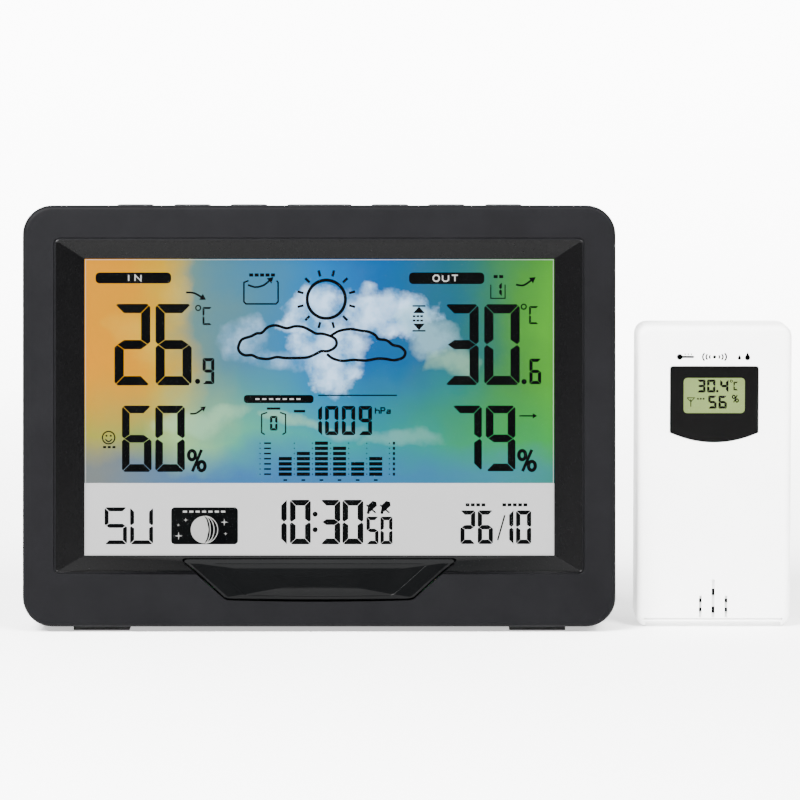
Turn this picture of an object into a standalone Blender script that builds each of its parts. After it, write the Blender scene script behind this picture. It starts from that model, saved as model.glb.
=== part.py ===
"""Home weather station: a desk console with a colour display, and its wireless outdoor sensor.

Every dimension is in millimetres in its own body's frame: x to the right, y from the front face
towards the back, z up from the bottom edge. The console body leans back on a fold-out foot.
"""

import math

import bmesh
import bpy

MM = 0.001

# Console body
CON_W, CON_H = 95.0, 135.0          # half width, full height
CON_R = 9.5                         # outer corner radius seen from the front
CON_D = 30.0                        # full depth
SPLIT = 16.0                        # depth where the bezel meets the rear cover
LEAN = 5.0                          # degrees
WALL = 2.2
REC_X, REC_Z0, REC_Z1 = 84.2, 17.6, 123.7   # outline of the sloped display recess
WIN_X, WIN_Z0, WIN_Z1 = 75.4, 22.7, 117.9   # display window, 7.0 inch diagonal
WIN_Y = 5.0                                 # depth of the recess at the window
LENS_X, LENS_Z0, LENS_Z1 = 79.5, 18.7, 121.9
FOOT_DROP = 1.9                     # height of the console frame above the table

# Keys on the top edge: centre x and full width
KEYS = (("snooze_mode", 0.0, 21.9), ("r1", 22.65, 12.9), ("r2", 40.8, 12.9), ("r3", 59.1, 12.9),
        ("l1", -22.65, 12.9), ("l2", -40.8, 12.9), ("l3", -59.1, 12.9))
KEY_Y, KEY_HALF_Y, KEY_RISE, KEY_GAP = 9.5, 3.0, 0.6, 0.35

# Snooze and light bar under the display
BAR_TOP, BAR_TOP_X, BAR_BOT, BAR_BOT_X = 21.6, 44.4, 8.8, 29.9
BAR_BACK = 4.4

# Fold-out foot
PIVOT_Y, PIVOT_Z = 26.4, 10.5
LEG_HALF, LEG_LEN, LEG_ANGLE, LEG_THICK = 29.8, 47.0, 10.0, 3.0
RECESS_X, RECESS_Z0, RECESS_Z1, RECESS_Y = 30.4, 7.4, 60.5, 23.5

# Battery compartment, three AAA cells
CELL_R, CELL_HALF = 5.15, 21.7
CELL_Z = (74.4, 86.0, 97.6)
CELL_Y = 22.6

# Case screws of the console: x, z
SCREWS = ((-84.5, 12.0), (84.5, 12.0), (-84.5, 123.0), (84.5, 123.0))

# Outdoor sensor
SEN_W, SEN_H, SEN_D, SEN_R = 25.0, 97.8, 22.0, 4.0
SEN_SPLIT = 13.5
SEN_X, SEN_Y = 127.0, 14.0          # its centre and its front face, from the console's

# Where the console frame stands, so that the whole object is centred on the origin
SHIFT_X, SHIFT_Y = -28.5, -36.816

for old in list(bpy.data.objects):
    bpy.data.objects.remove(old, do_unlink=True)


def material(name, rgb, rough=0.5, metal=0.0, alpha=1.0):
    mat = bpy.data.materials.new(name)
    mat.use_nodes = True
    shader = mat.node_tree.nodes["Principled BSDF"]
    shader.inputs["Base Color"].default_value = (*rgb, 1.0)
    shader.inputs["Roughness"].default_value = rough
    shader.inputs["Metallic"].default_value = metal
    shader.inputs["Alpha"].default_value = alpha
    return mat


CASE = material("case_dark_grey", (0.045, 0.046, 0.05), 0.55)
KEYM = material("key_dark_grey", (0.05, 0.051, 0.055), 0.5)
BAR = material("gloss_black", (0.012, 0.012, 0.014), 0.12)
LENS = material("clear_window", (0.8, 0.85, 0.88), 0.05, 0.0, 0.35)
LCD = material("display_panel", (0.25, 0.45, 0.55), 0.3)
GUIDE = material("light_guide", (0.85, 0.86, 0.88), 0.35)
BOARD = material("circuit_board", (0.03, 0.16, 0.06), 0.5)
EPOXY = material("black_epoxy", (0.02, 0.02, 0.02), 0.3)
COPPER = material("copper_wire", (0.72, 0.38, 0.2), 0.35, 1.0)
NICKEL = material("nickel_plate", (0.7, 0.68, 0.63), 0.3, 1.0)
STEEL = material("steel", (0.55, 0.55, 0.57), 0.3, 1.0)
CELL = material("battery_sleeve", (0.16, 0.24, 0.42), 0.35)
RUBBER = material("rubber", (0.03, 0.03, 0.03), 0.85)
ZEBRA = material("elastomer", (0.62, 0.5, 0.5), 0.8)
WHITE = material("sensor_white", (0.86, 0.86, 0.85), 0.5)


def empty(name, location, rot_x=0.0):
    obj = bpy.data.objects.new(name, None)
    obj.location = [c * MM for c in location]
    obj.rotation_euler = (math.radians(rot_x), 0.0, 0.0)
    bpy.context.scene.collection.objects.link(obj)
    return obj


CONSOLE = empty("console_frame", (SHIFT_X, SHIFT_Y, FOOT_DROP), -LEAN)
SENSOR = empty("sensor_frame", (SHIFT_X + SEN_X, SHIFT_Y + SEN_Y, 0.0))


def solid(name, verts, faces, parent, mat, origin=(0, 0, 0), rot_x=0.0):
    """A closed mesh. Its vertices are given in the parent's frame and stored about its origin."""
    mesh = bpy.data.meshes.new(name)
    mesh.from_pydata([[(a - o) * MM for a, o in zip(v, origin)] for v in verts], [], faces)
    shape = bmesh.new()
    shape.from_mesh(mesh)
    bmesh.ops.recalc_face_normals(shape, faces=shape.faces)
    for face in shape.faces:
        face.smooth = True
    for edge in shape.edges:
        if len(edge.link_faces) == 2 and edge.calc_face_angle(0.0) > math.radians(32):
            edge.smooth = False
    shape.to_mesh(mesh)
    shape.free()
    obj = bpy.data.objects.new(name, mesh)
    obj.parent = parent
    obj.location = [c * MM for c in origin]
    obj.rotation_euler = (math.radians(rot_x), 0.0, 0.0)
    if mat is not None:
        mesh.materials.append(mat)
    bpy.context.scene.collection.objects.link(obj)
    return obj


def ring(cu, cv, hu, hv, r, n):
    """A rounded rectangle of 4 * (n + 1) points, or 4 when n is 0."""
    r = min(r, hu - 0.02, hv - 0.02)
    if n == 0:
        return [(cu + hu, cv + hv), (cu - hu, cv + hv), (cu - hu, cv - hv), (cu + hu, cv - hv)]
    points = []
    for su, sv, start in ((1, 1, 0), (-1, 1, 90), (-1, -1, 180), (1, -1, 270)):
        for k in range(n + 1):
            a = math.radians(start + 90.0 * k / n)
            points.append((cu + su * (hu - r) + r * math.cos(a), cv + sv * (hv - r) + r * math.sin(a)))
    return points


def on_axis(axis, u, v, t):
    return {"X": (t, u, v), "Y": (u, t, v), "Z": (u, v, t)}[axis]


def bridge(loops, closed):
    """Faces between loops of the same length. The ends are capped unless the loops close on themselves."""
    count, size = len(loops), len(loops[0])
    faces = []
    for i in range(count if closed else count - 1):
        a, b = i * size, ((i + 1) % count) * size
        for k in range(size):
            m = (k + 1) % size
            faces.append((a + k, a + m, b + m, b + k))
    if not closed:
        faces.append(tuple(range(size)))
        faces.append(tuple(range((count - 1) * size, count * size)))
    return [p for loop in loops for p in loop], faces


def loft(name, axis, rows, parent, mat, n=4, closed=False, origin=(0, 0, 0)):
    """Rows are (t, cu, cv, half u, half v, corner radius), joined in turn along the axis."""
    loops = [[on_axis(axis, u, v, t) for u, v in ring(cu, cv, hu, hv, r, n)]
             for t, cu, cv, hu, hv, r in rows]
    verts, faces = bridge(loops, closed)
    return solid(name, verts, faces, parent, mat, origin)


def plate(name, x0, x1, y0, y1, z0, z1, parent, mat, r=1.0, soft=0.3, n=3, origin=(0, 0, 0)):
    """A plate lying in x and z with rounded corners and a small chamfer on its back and front."""
    cx, cz, hx, hz = (x0 + x1) / 2, (z0 + z1) / 2, (x1 - x0) / 2, (z1 - z0) / 2
    rows = [(y0, cx, cz, hx - soft, hz - soft, r), (y0 + soft, cx, cz, hx, hz, r),
            (y1 - soft, cx, cz, hx, hz, r), (y1, cx, cz, hx - soft, hz - soft, r)]
    if soft == 0:
        rows = [rows[0], rows[3]]
    return loft(name, "Y", rows, parent, mat, n, origin=origin)


def turned(name, axis, cu, cv, rows, parent, mat, n=5, origin=(0, 0, 0)):
    """A round piece about an axis. Rows are (t, radius)."""
    size = 4 * n
    loops = [[on_axis(axis, cu + r * math.cos(2 * math.pi * k / size),
                      cv + r * math.sin(2 * math.pi * k / size), t) for k in range(size)]
             for t, r in rows]
    verts, faces = bridge(loops, False)
    return solid(name, verts, faces, parent, mat, origin)


def prism(name, axis, points, t0, t1, parent, mat, origin=(0, 0, 0)):
    loops = [[on_axis(axis, u, v, t) for u, v in points] for t in (t0, t1)]
    verts, faces = bridge(loops, False)
    return solid(name, verts, faces, parent, mat, origin)


def boxes(name, spans, parent):
    """Plain boxes in one mesh, each (x0, x1, y0, y1, z0, z1), to cut with or to add."""
    verts, faces = [], []
    for x0, x1, y0, y1, z0, z1 in spans:
        base = len(verts)
        part, more = bridge([[(x, y, z) for x, z in ((x0, z0), (x1, z0), (x1, z1), (x0, z1))]
                             for y in (y0, y1)], False)
        verts += part
        faces += [tuple(base + i for i in face) for face in more]
    return solid(name, verts, faces, parent, None)


def rods(name, axis, spots, t0, t1, r, parent, n=4):
    """Round rods in one mesh, to cut with or to add. Spots are (u, v)."""
    verts, faces, size = [], [], 4 * n
    for cu, cv in spots:
        base = len(verts)
        part, more = bridge([[on_axis(axis, cu + r * math.cos(2 * math.pi * k / size),
                                      cv + r * math.sin(2 * math.pi * k / size), t)
                              for k in range(size)] for t in (t0, t1)], False)
        verts += part
        faces += [tuple(base + i for i in face) for face in more]
    return solid(name, verts, faces, parent, None)


def coil(name, centre, radius, turns, pitch, wire, lead_y, parent, mat, per_turn=10, sides=5):
    """A wire wound about z, with a straight lead running forward to its board."""
    cx, cy, z0 = centre
    path = [(cx + radius, lead_y, z0)]
    for k in range(int(turns * per_turn) + 1):
        a = 2 * math.pi * k / per_turn
        path.append((cx + radius * math.cos(a), cy + radius * math.sin(a), z0 + pitch * k / per_turn))
    loops = []
    for i, p in enumerate(path):
        q0, q1 = path[max(i - 1, 0)], path[min(i + 1, len(path) - 1)]
        d = [b - a for a, b in zip(q0, q1)]
        size = math.sqrt(sum(c * c for c in d))
        d = [c / size for c in d]
        side = (d[1], -d[0], 0.0)
        size = math.sqrt(side[0] ** 2 + side[1] ** 2)
        side = (side[0] / size, side[1] / size, 0.0)
        up = (side[1] * d[2], -side[0] * d[2], side[0] * d[1] - side[1] * d[0])
        loops.append([tuple(p[j] + wire * (math.cos(2 * math.pi * s / sides) * side[j]
                                           + math.sin(2 * math.pi * s / sides) * up[j])
                            for j in range(3)) for s in range(sides)])
    verts, faces = bridge(loops, False)
    return solid(name, verts, faces, parent, mat)


def combine(obj, tool, how):
    change = obj.modifiers.new(tool.name, "BOOLEAN")
    change.operation = how
    change.solver = "EXACT"
    change.object = tool
    tool.hide_render = True
    tool.display_type = "WIRE"


def cut(obj, tool):
    combine(obj, tool, "DIFFERENCE")


def join(obj, tool):
    combine(obj, tool, "UNION")


# ---------------------------------------------------------------- console: front bezel
def frame_row(y, inset):
    return (y, 0.0, CON_H / 2, CON_W - inset, CON_H / 2 - inset, max(CON_R - inset, 1.0))


def span_row(y, half, z0, z1, r):
    return (y, 0.0, (z0 + z1) / 2, half, (z1 - z0) / 2, r)


bezel = loft("front_bezel", "Y", [
    frame_row(SPLIT, 0.0), frame_row(1.5, 0.0), frame_row(0.6, 0.22), frame_row(0.15, 0.75),
    frame_row(0.0, 1.5),
    span_row(0.0, REC_X + 0.8, REC_Z0 - 0.8, REC_Z1 + 0.8, 2.5),
    span_row(0.35, REC_X + 0.65, REC_Z0 - 0.65, REC_Z1 + 0.65, 2.35),
    span_row(0.35, REC_X + 0.3, REC_Z0 - 0.3, REC_Z1 + 0.3, 2.0),
    span_row(0.05, REC_X + 0.1, REC_Z0 - 0.1, REC_Z1 + 0.1, 1.8),
    span_row(0.15, REC_X - 0.15, REC_Z0 + 0.15, REC_Z1 - 0.15, 1.6),
    span_row(WIN_Y, WIN_X, WIN_Z0, WIN_Z1, 0.4),
    span_row(WIN_Y + 0.5, WIN_X, WIN_Z0, WIN_Z1, 0.4),
    span_row(WIN_Y + 0.5, 81.5, 16.7, 123.8, 2.0),
    span_row(2.4, 86.3, 12.3, 128.3, 5.0),
    frame_row(2.4, WALL), frame_row(SPLIT, WALL)], CONSOLE, CASE, n=7, closed=True)
cut(bezel, boxes("key_holes", [
    (x - w / 2 - KEY_GAP, x + w / 2 + KEY_GAP, KEY_Y - KEY_HALF_Y - KEY_GAP,
     KEY_Y + KEY_HALF_Y + KEY_GAP, CON_H - 4.0, CON_H + 3.0) for _, x, w in KEYS], CONSOLE))


def trapezoid(grow):
    """The bar's outline in x and z, with a slightly bowed lower edge, grown by a gap."""
    slope = (BAR_TOP_X - BAR_BOT_X) / (BAR_TOP - BAR_BOT)
    side = grow * math.sqrt(1 + slope * slope)
    top = BAR_TOP_X + side + slope * grow
    low = BAR_BOT_X + side - slope * grow
    points = []
    for sign in (-1, 1):
        right = [(low - 1.6, BAR_BOT - 0.12 - grow), (low + 0.1, BAR_BOT + 0.2 - grow),
                 (low + 1.0, BAR_BOT + 0.7 - grow), (top - 1.3, BAR_TOP - 1.1 + grow),
                 (top - 1.3, BAR_TOP - 0.35 + grow), (top - 2.4, BAR_TOP + grow)]
        bow = [(low * 0.30, BAR_BOT - 0.5 - grow), (low * 0.66, BAR_BOT - 0.35 - grow)]
        half = bow + right
        points += [(sign * x, z) for x, z in (half if sign > 0 else reversed(half))]
    return points


cut(bezel, prism("bar_hole", "Y", trapezoid(0.35), -5.0, 9.0, CONSOLE, None))
join(bezel, rods("bezel_posts", "Y", SCREWS, 1.9, 15.9, 3.0, CONSOLE, n=3))
cut(bezel, rods("bezel_post_bores", "Y", SCREWS, 6.5, 17.0, 1.5, CONSOLE, n=3))

# ---------------------------------------------------------------- console: rear cover
rear = loft("rear_cover", "Y", [
    frame_row(28.0, 8.0), frame_row(26.6, 5.0), frame_row(24.0, 3.5), frame_row(16.3, WALL),
    frame_row(16.3, 0.0), frame_row(20.0, 0.3), frame_row(24.0, 1.2), frame_row(27.0, 2.5),
    frame_row(29.0, 4.1), frame_row(29.8, 5.3), frame_row(CON_D, 6.4)], CONSOLE, CASE, n=7)
join(rear, boxes("battery_walls", [(-28.5, 28.5, 15.6, 29.4, 64.0, 107.5)], CONSOLE))
join(rear, boxes("foot_walls", [(-34.0, 34.0, 21.6, 29.3, 5.8, 64.6)], CONSOLE))
join(rear, rods("rear_posts", "Y", SCREWS, 16.6, 29.0, 4.2, CONSOLE))
join(rear, boxes("hanger_walls", [(s * 50 - 6.6, s * 50 + 6.6, 24.0, 29.2, 102.9, 121.0)
                                  for s in (-1, 1)], CONSOLE))
cut(rear, boxes("battery_pocket", [(-24.4, 24.4, 17.2, 32.0, 67.6, 104.4)], CONSOLE))
cut(rear, plate("door_rebate", -26.6, 26.6, 28.0, 32.0, 65.8, 106.2, CONSOLE, None, r=2.2, soft=0))
cut(rear, boxes("foot_recess", [(-RECESS_X, RECESS_X, RECESS_Y, 32.0, RECESS_Z0, RECESS_Z1)], CONSOLE))
cut(rear, boxes("finger_notch", [(-9.0, 9.0, 25.6, 32.0, 59.0, 63.0)], CONSOLE))
cut(rear, rods("pin_holes", "X", [(PIVOT_Y, PIVOT_Z)], -32.7, 32.7, 1.5, CONSOLE, n=3))
cut(rear, rods("rear_counterbores", "Y", SCREWS, 19.2, 32.0, 2.9, CONSOLE))
cut(rear, rods("rear_screw_holes", "Y", SCREWS, 15.0, 20.0, 1.5, CONSOLE, n=3))
cut(rear, boxes("hanger_pockets", [(s * 50 - 5.2, s * 50 + 5.2, 25.2, 28.1, 104.3, 119.7)
                                   for s in (-1, 1)], CONSOLE))


def keyhole(cx, z, r, half_slot, top):
    a0 = math.asin(half_slot / r)
    arc = [math.pi / 2 + a0 + (2 * math.pi - 2 * a0) * k / 14 for k in range(15)]
    return ([(cx + r * math.cos(a), z + r * math.sin(a)) for a in arc]
            + [(cx + half_slot * math.cos(a), top + half_slot * math.sin(a))
               for a in (0.0, math.pi / 4, math.pi / 2, 3 * math.pi / 4, math.pi)])


for side_name, s in (("left", -1), ("right", 1)):
    cut(rear, prism("hanger_keyhole_" + side_name, "Y", keyhole(s * 50, 109.5, 4.4, 2.3, 116.0),
                    27.5, 32.0, CONSOLE, None))
cut(rear, boxes("air_slots", [(-74.0, -58.0, 26.0, 32.0, z - 0.9, z + 0.9)
                              for z in (22.0, 26.0, 30.0, 34.0, 38.0)], CONSOLE))
cut(rear, rods("sound_holes", "Y", [(66.0, 52.0)] + [
    (66.0 + 5.0 * math.cos(math.radians(a)), 52.0 + 5.0 * math.sin(math.radians(a)))
    for a in range(0, 360, 60)], 26.0, 32.0, 1.1, CONSOLE, n=2))
cut(rear, rods("jack_hole", "Y", [(66.0, 24.0)], 26.0, 32.0, 4.3, CONSOLE, n=5))

# ---------------------------------------------------------------- console: display stack
plate("display_window", -LENS_X, LENS_X, 5.8, 7.2, LENS_Z0, LENS_Z1, CONSOLE, LENS, 1.0, 0.15, 2)
plate("lcd_panel", -79.0, 79.0, 7.5, 9.5, 19.2, 121.4, CONSOLE, LCD, 0.5, 0.1, 1)
plate("backlight_guide", -77.0, 77.0, 9.8, 12.6, 23.6, 119.5, CONSOLE, GUIDE, 0.8, 0.3, 1)
plate("zebra_strip", -62.0, 62.0, 9.7, 13.0, 19.6, 22.6, CONSOLE, ZEBRA, 0.3, 0.2, 1)
plate("main_board", -80.6, 80.6, 13.2, 14.8, 10.0, 124.0, CONSOLE, BOARD, 1.5, 0, 2)
loft("processor", "Y", [(14.95, 0, 40, 9, 9, 8.9), (15.8, 0, 40, 9, 9, 8.9), (16.7, 0, 40, 7.4, 7.4, 7.3),
                        (17.2, 0, 40, 4.2, 4.2, 4.1)], CONSOLE, EPOXY, n=5)
coil("antenna_coil", (-66.0, 20.5, 84.0), 3.2, 5.5, 3.4, 0.45, 15.0, CONSOLE, COPPER)
turned("piezo_buzzer", "Y", 66.0, 52.0, [(15.0, 9.0), (18.6, 9.0), (19.2, 8.4)], CONSOLE, EPOXY, n=6)
loft("indoor_sensor", "Y", [(15.0, -66, 30, 2.6, 3.4, 0.4), (17.6, -66, 30, 2.6, 3.4, 0.4),
                            (18.2, -66, 30, 2.0, 2.8, 0.4)], CONSOLE, WHITE, n=1)
loft("dc_jack", "Y", [
    (15.0, 66, 24, 4.8, 5.4, 0.7), (26.6, 66, 24, 4.8, 5.4, 0.7), (26.6, 66, 24, 3.9, 3.9, 3.88),
    (29.4, 66, 24, 3.9, 3.9, 3.88), (29.7, 66, 24, 3.6, 3.6, 3.58), (29.7, 66, 24, 2.8, 2.8, 2.78),
    (18.5, 66, 24, 2.8, 2.8, 2.78), (18.5, 66, 24, 0.9, 0.9, 0.88), (28.2, 66, 24, 0.9, 0.9, 0.88)],
    CONSOLE, EPOXY, n=5)

# ---------------------------------------------------------------- console: keys and their boards
key_board = plate("button_board", -71.0, 71.0, 6.3, 14.9, 124.5, 125.8, CONSOLE, BOARD, 0.5, 0, 1)
join(key_board, boxes("key_switches", [(x - 2.6, x + 2.6, KEY_Y - 2.6, KEY_Y + 2.6, 125.4, 129.2)
                                       for _, x, _ in KEYS], CONSOLE))
key_spots = [(x, KEY_Y) for _, x, _ in KEYS]
join(key_board, rods("key_switch_stems", "Z", key_spots, 129.0, 130.0, 1.5, CONSOLE, n=2))
for key_name, x, w in KEYS:
    h = w / 2
    loft("key_" + key_name, "Z", [
        (CON_H + KEY_RISE, x, KEY_Y, h - 1.1, KEY_HALF_Y - 0.5, 0.5),
        (CON_H + 0.45, x, KEY_Y, h - 0.75, KEY_HALF_Y - 0.2, 0.6),
        (CON_H - 0.1, x, KEY_Y, h, KEY_HALF_Y, 0.6), (132.3, x, KEY_Y, h, KEY_HALF_Y, 0.6),
        (132.3, x, KEY_Y, h + 0.9, KEY_HALF_Y + 0.9, 0.6), (131.3, x, KEY_Y, h + 0.9, KEY_HALF_Y + 0.9, 0.6),
        (131.3, x, KEY_Y, 1.6, 1.6, 0.4), (131.0, x, KEY_Y, 1.6, 1.6, 0.4)],
        CONSOLE, KEYM, n=2, origin=(x, KEY_Y, 132.3))

profile = [(2.75, BAR_TOP + 0.5), (2.75, BAR_TOP), (1.5, 20.1), (0.55, 18.5), (-0.1, 16.7), (-0.42, 14.8),
           (-0.5, 13.0), (-0.45, 11.2), (-0.25, 9.8), (0.1, 8.9), (0.5, BAR_BOT - 0.6),
           (0.9, BAR_BOT - 1.6), (BAR_BACK, BAR_BOT - 1.6), (BAR_BACK, BAR_TOP + 0.5)]
bar = prism("snooze_bar", "X", profile, -50.0, 50.0, CONSOLE, BAR, origin=(0, BAR_BACK, 15.0))
combine(bar, prism("bar_outline", "Y", trapezoid(0.0), -4.0, 8.0, CONSOLE, None), "INTERSECT")
join(bar, boxes("bar_flange", [(-32.0, 32.0, 2.85, BAR_BACK - 0.2, 5.6, 14.0)], CONSOLE))
bar_board = plate("snooze_board", -24.0, 24.0, 6.9, 8.1, 4.4, 15.2, CONSOLE, BOARD, 0.5, 0, 1)
join(bar_board, rods("bar_switches", "Y", [(-16.0, 10.5), (16.0, 10.5)], 5.5, 7.3, 2.0, CONSOLE, n=3))

# ---------------------------------------------------------------- console: power
for i, z in enumerate(CELL_Z):
    d = -1 if i == 1 else 1
    rows = [(-CELL_HALF * d, CELL_R - 0.5), (-(CELL_HALF - 0.5) * d, CELL_R), ((CELL_HALF - 0.6) * d, CELL_R),
            (CELL_HALF * d, CELL_R - 0.7), (CELL_HALF * d, 1.9), ((CELL_HALF + 0.9) * d, 1.8)]
    turned(f"battery_{i + 1}", "X", CELL_Y, z, rows, CONSOLE, CELL, n=5)
for side_name, s in (("left", -1), ("right", 1)):
    tab = boxes("contact_" + side_name, [(min(s * 23.75, s * 24.2), max(s * 23.75, s * 24.2),
                                          18.4, 27.2, 69.0, 103.0)], CONSOLE)
    tab.data.materials.append(NICKEL)
    join(tab, rods("contact_bumps_" + side_name, "X", [(CELL_Y, z) for z in CELL_Z],
                   min(s * 22.9, s * 23.9), max(s * 22.9, s * 23.9), 2.4, CONSOLE, n=3))
door = plate("battery_door", -26.2, 26.2, 28.25, 29.95, 66.2, 105.8, CONSOLE, CASE, 1.9, 0.3, 3,
             origin=(0, 28.25, 86.0))
cut(door, boxes("door_grip", [(-7.0, 7.0, 29.3, 31.0, z, z + 0.9) for z in (98.0, 99.8, 101.6)], CONSOLE))

# ---------------------------------------------------------------- console: foot, feet, screws
lean = math.radians(LEAN)
pivot_up = -PIVOT_Y * math.sin(lean) + PIVOT_Z * math.cos(lean) + FOOT_DROP


def leg_frame(name, points, x0, x1, mat, parent):
    """A prism along x drawn about the pivot, level with the table while the console leans."""
    mesh = prism(name, "X", points, x0, x1, parent, mat)
    mesh.location = (0.0, PIVOT_Y * MM, PIVOT_Z * MM)
    mesh.rotation_euler = (lean, 0.0, 0.0)
    return mesh


drop = math.radians(LEG_ANGLE)
along, out = (math.cos(drop), -math.sin(drop)), (math.sin(drop), math.cos(drop))
half = LEG_THICK / 2
spread = math.asin(half / 2.5)
knuckle = [-drop + spread + (2 * math.pi - 2 * spread) * k / 12 for k in range(13)]
leg_points = [(2.5 * math.cos(a), 2.5 * math.sin(a)) for a in knuckle]
leg_points += [(along[0] * d + out[0] * o, along[1] * d + out[1] * o) for d, o in (
    (LEG_LEN - 1.2, -half), (LEG_LEN - 0.3, -half + 0.5), (LEG_LEN, 0.0), (LEG_LEN - 0.3, half - 0.5),
    (LEG_LEN - 1.2, half))]
leg = leg_frame("stand_leg", leg_points, -LEG_HALF, LEG_HALF, CASE, CONSOLE)
cut(leg, leg_frame("leg_bore", [(1.5 * math.cos(math.pi * k / 6), 1.5 * math.sin(math.pi * k / 6))
                                for k in range(12)], -40.0, 40.0, None, CONSOLE))
cut(leg, leg_frame("leg_window", [(12.0, -12.0), (32.0, -12.0), (32.0, 6.0), (12.0, 6.0)],
                   -17.0, 17.0, None, CONSOLE))
under = [(y, -(half / math.cos(drop)) - math.tan(drop) * y - 0.12) for y in (37.0, 45.0)]
leg_frame("stand_pad", [(37.0, -pivot_up), (45.0, -pivot_up), under[1], under[0]], -22.0, 22.0,
          RUBBER, CONSOLE)
turned("stand_pin", "X", PIVOT_Y, PIVOT_Z, [(-32.3, 1.0), (-32.0, 1.2), (32.0, 1.2), (32.3, 1.0)],
       CONSOLE, STEEL, n=3)


def table_z(y):
    """Height of the table top in the leaning frame."""
    return (y * math.sin(lean) - FOOT_DROP) / math.cos(lean)


for side_name, s in (("left", -1), ("right", 1)):
    prism("foot_" + side_name, "X", [(6.5, -0.1), (6.5, table_z(6.5)), (13.5, table_z(13.5)), (13.5, -0.1)],
          s * 70.0 - 9.0, s * 70.0 + 9.0, CONSOLE, RUBBER)


def screw(name, x, z, head_y, r_head, r_shank, length, parent):
    body = turned(name, "Y", x, z, [(head_y - length, r_shank * 0.5), (head_y - length + 1.2, r_shank),
                                    (head_y, r_shank), (head_y, r_head), (head_y + 1.5, r_head),
                                    (head_y + 2.0, r_head * 0.7)], parent, STEEL, n=3)
    w, h, d = r_head * 0.62, 0.3, head_y + 1.0
    cut(body, boxes(name + "_slot_a", [(x - w, x + w, d, head_y + 3.0, z - h, z + h)], parent))
    cut(body, boxes(name + "_slot_b", [(x - h, x + h, d, head_y + 3.0, z - w, z + w)], parent))


for i, (x, z) in enumerate(SCREWS):
    screw(f"case_screw_{i + 1}", x, z, 19.5, 2.5, 1.2, 12.0, CONSOLE)

# ---------------------------------------------------------------- outdoor sensor: covers
SEN_SCREWS = ((-19.2, 6.8), (19.2, 6.8))


def sen_row(y, inset):
    return (y, 0.0, SEN_H / 2, SEN_W - inset, SEN_H / 2 - inset, max(SEN_R - inset * 0.8, 1.0))


front = loft("sensor_front_cover", "Y", [
    sen_row(2.2, 3.0), sen_row(2.8, 1.9), sen_row(SEN_SPLIT, 1.9), sen_row(SEN_SPLIT, 0.0),
    sen_row(2.2, 0.0), sen_row(1.0, 0.35), sen_row(0.35, 1.1), sen_row(0.0, 2.2)],
    SENSOR, WHITE, n=5)
WIN_TOP, WIN_SIDE, WIN_ARC, WIN_HALF = 84.55, 62.95, 59.75, 14.35


def window_outline(shrink):
    half = WIN_HALF - shrink
    points = []
    for k in range(13):
        x = -half + 2 * half * k / 12
        points.append((x, WIN_SIDE - (WIN_SIDE - WIN_ARC - shrink) * (1 - (x / half) ** 2)))
    top = WIN_TOP - shrink
    return points + [(half, top - 0.9), (half - 0.3, top - 0.3), (half - 0.9, top),
                     (0.9 - half, top), (0.3 - half, top - 0.3), (-half, top - 0.9)]


join(front, rods("sensor_front_posts", "Y", SEN_SCREWS, 1.6, 13.3, 3.0, SENSOR, n=3))
cut(front, rods("sensor_post_bores", "Y", SEN_SCREWS, 5.0, 15.0, 1.35, SENSOR, n=3))
cut(front, prism("sensor_window_seat", "Y", window_outline(0.0), -2.0, 1.5, SENSOR, None))
cut(front, boxes("sensor_display_hole", [(-10.9, 10.9, 1.0, 5.0, 68.45, 81.65)], SENSOR))
cut(front, boxes("sensor_grooves", [(-0.55, 0.55, -2.0, 0.9, 3.1, 15.4)] + [
    (s * 4.15 - 0.5, s * 4.15 + 0.5, -2.0, 0.9, 3.1, 10.2) for s in (-1, 1)], SENSOR))
cut(front, boxes("sensor_vents", [(-0.55, 0.55, 0.5, 4.0, z, z + 2.2) for z in (10.1, 4.3)] + [
    (s * 4.15 - 0.5, s * 4.15 + 0.5, 0.5, 4.0, z, z + 1.3) for s in (-1, 1) for z in (7.8, 4.8)], SENSOR))

back = loft("sensor_rear_cover", "Y", [
    sen_row(20.2, 2.6), sen_row(19.6, 1.9), sen_row(SEN_SPLIT + 0.3, 1.9), sen_row(SEN_SPLIT + 0.3, 0.0),
    sen_row(19.6, 0.0), sen_row(21.2, 0.6), sen_row(SEN_D, 2.0)], SENSOR, WHITE, n=5)
join(back, boxes("sensor_battery_walls", [(-14.6, 14.6, 7.6, 21.0, 20.4, 75.6)], SENSOR))
join(back, rods("sensor_rear_posts", "Y", SEN_SCREWS, 14.1, 21.0, 3.4, SENSOR, n=3))
cut(back, boxes("sensor_pocket", [(-11.5, 11.5, 9.0, 24.0, 24.0, 72.0)], SENSOR))
cut(back, plate("sensor_door_rebate", -13.2, 13.2, 20.0, 24.0, 22.2, 73.8, SENSOR, None, r=1.6, soft=0))
cut(back, rods("sensor_counterbores", "Y", SEN_SCREWS, 16.5, 24.0, 2.5, SENSOR, n=4))
cut(back, rods("sensor_screw_holes", "Y", SEN_SCREWS, 12.0, 17.0, 1.35, SENSOR, n=3))
cut(back, prism("sensor_keyhole", "Y", keyhole(0.0, 81.5, 3.5, 1.9, 87.0), 19.0, 24.0, SENSOR, None))
cut(back, boxes("sensor_switch_slot", [(3.9, 12.1, 19.0, 24.0, 11.5, 14.5)], SENSOR))
cut(back, rods("sensor_reset_hole", "Y", [(-8.0, 13.0)], 19.0, 24.0, 1.9, SENSOR, n=4))

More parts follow.
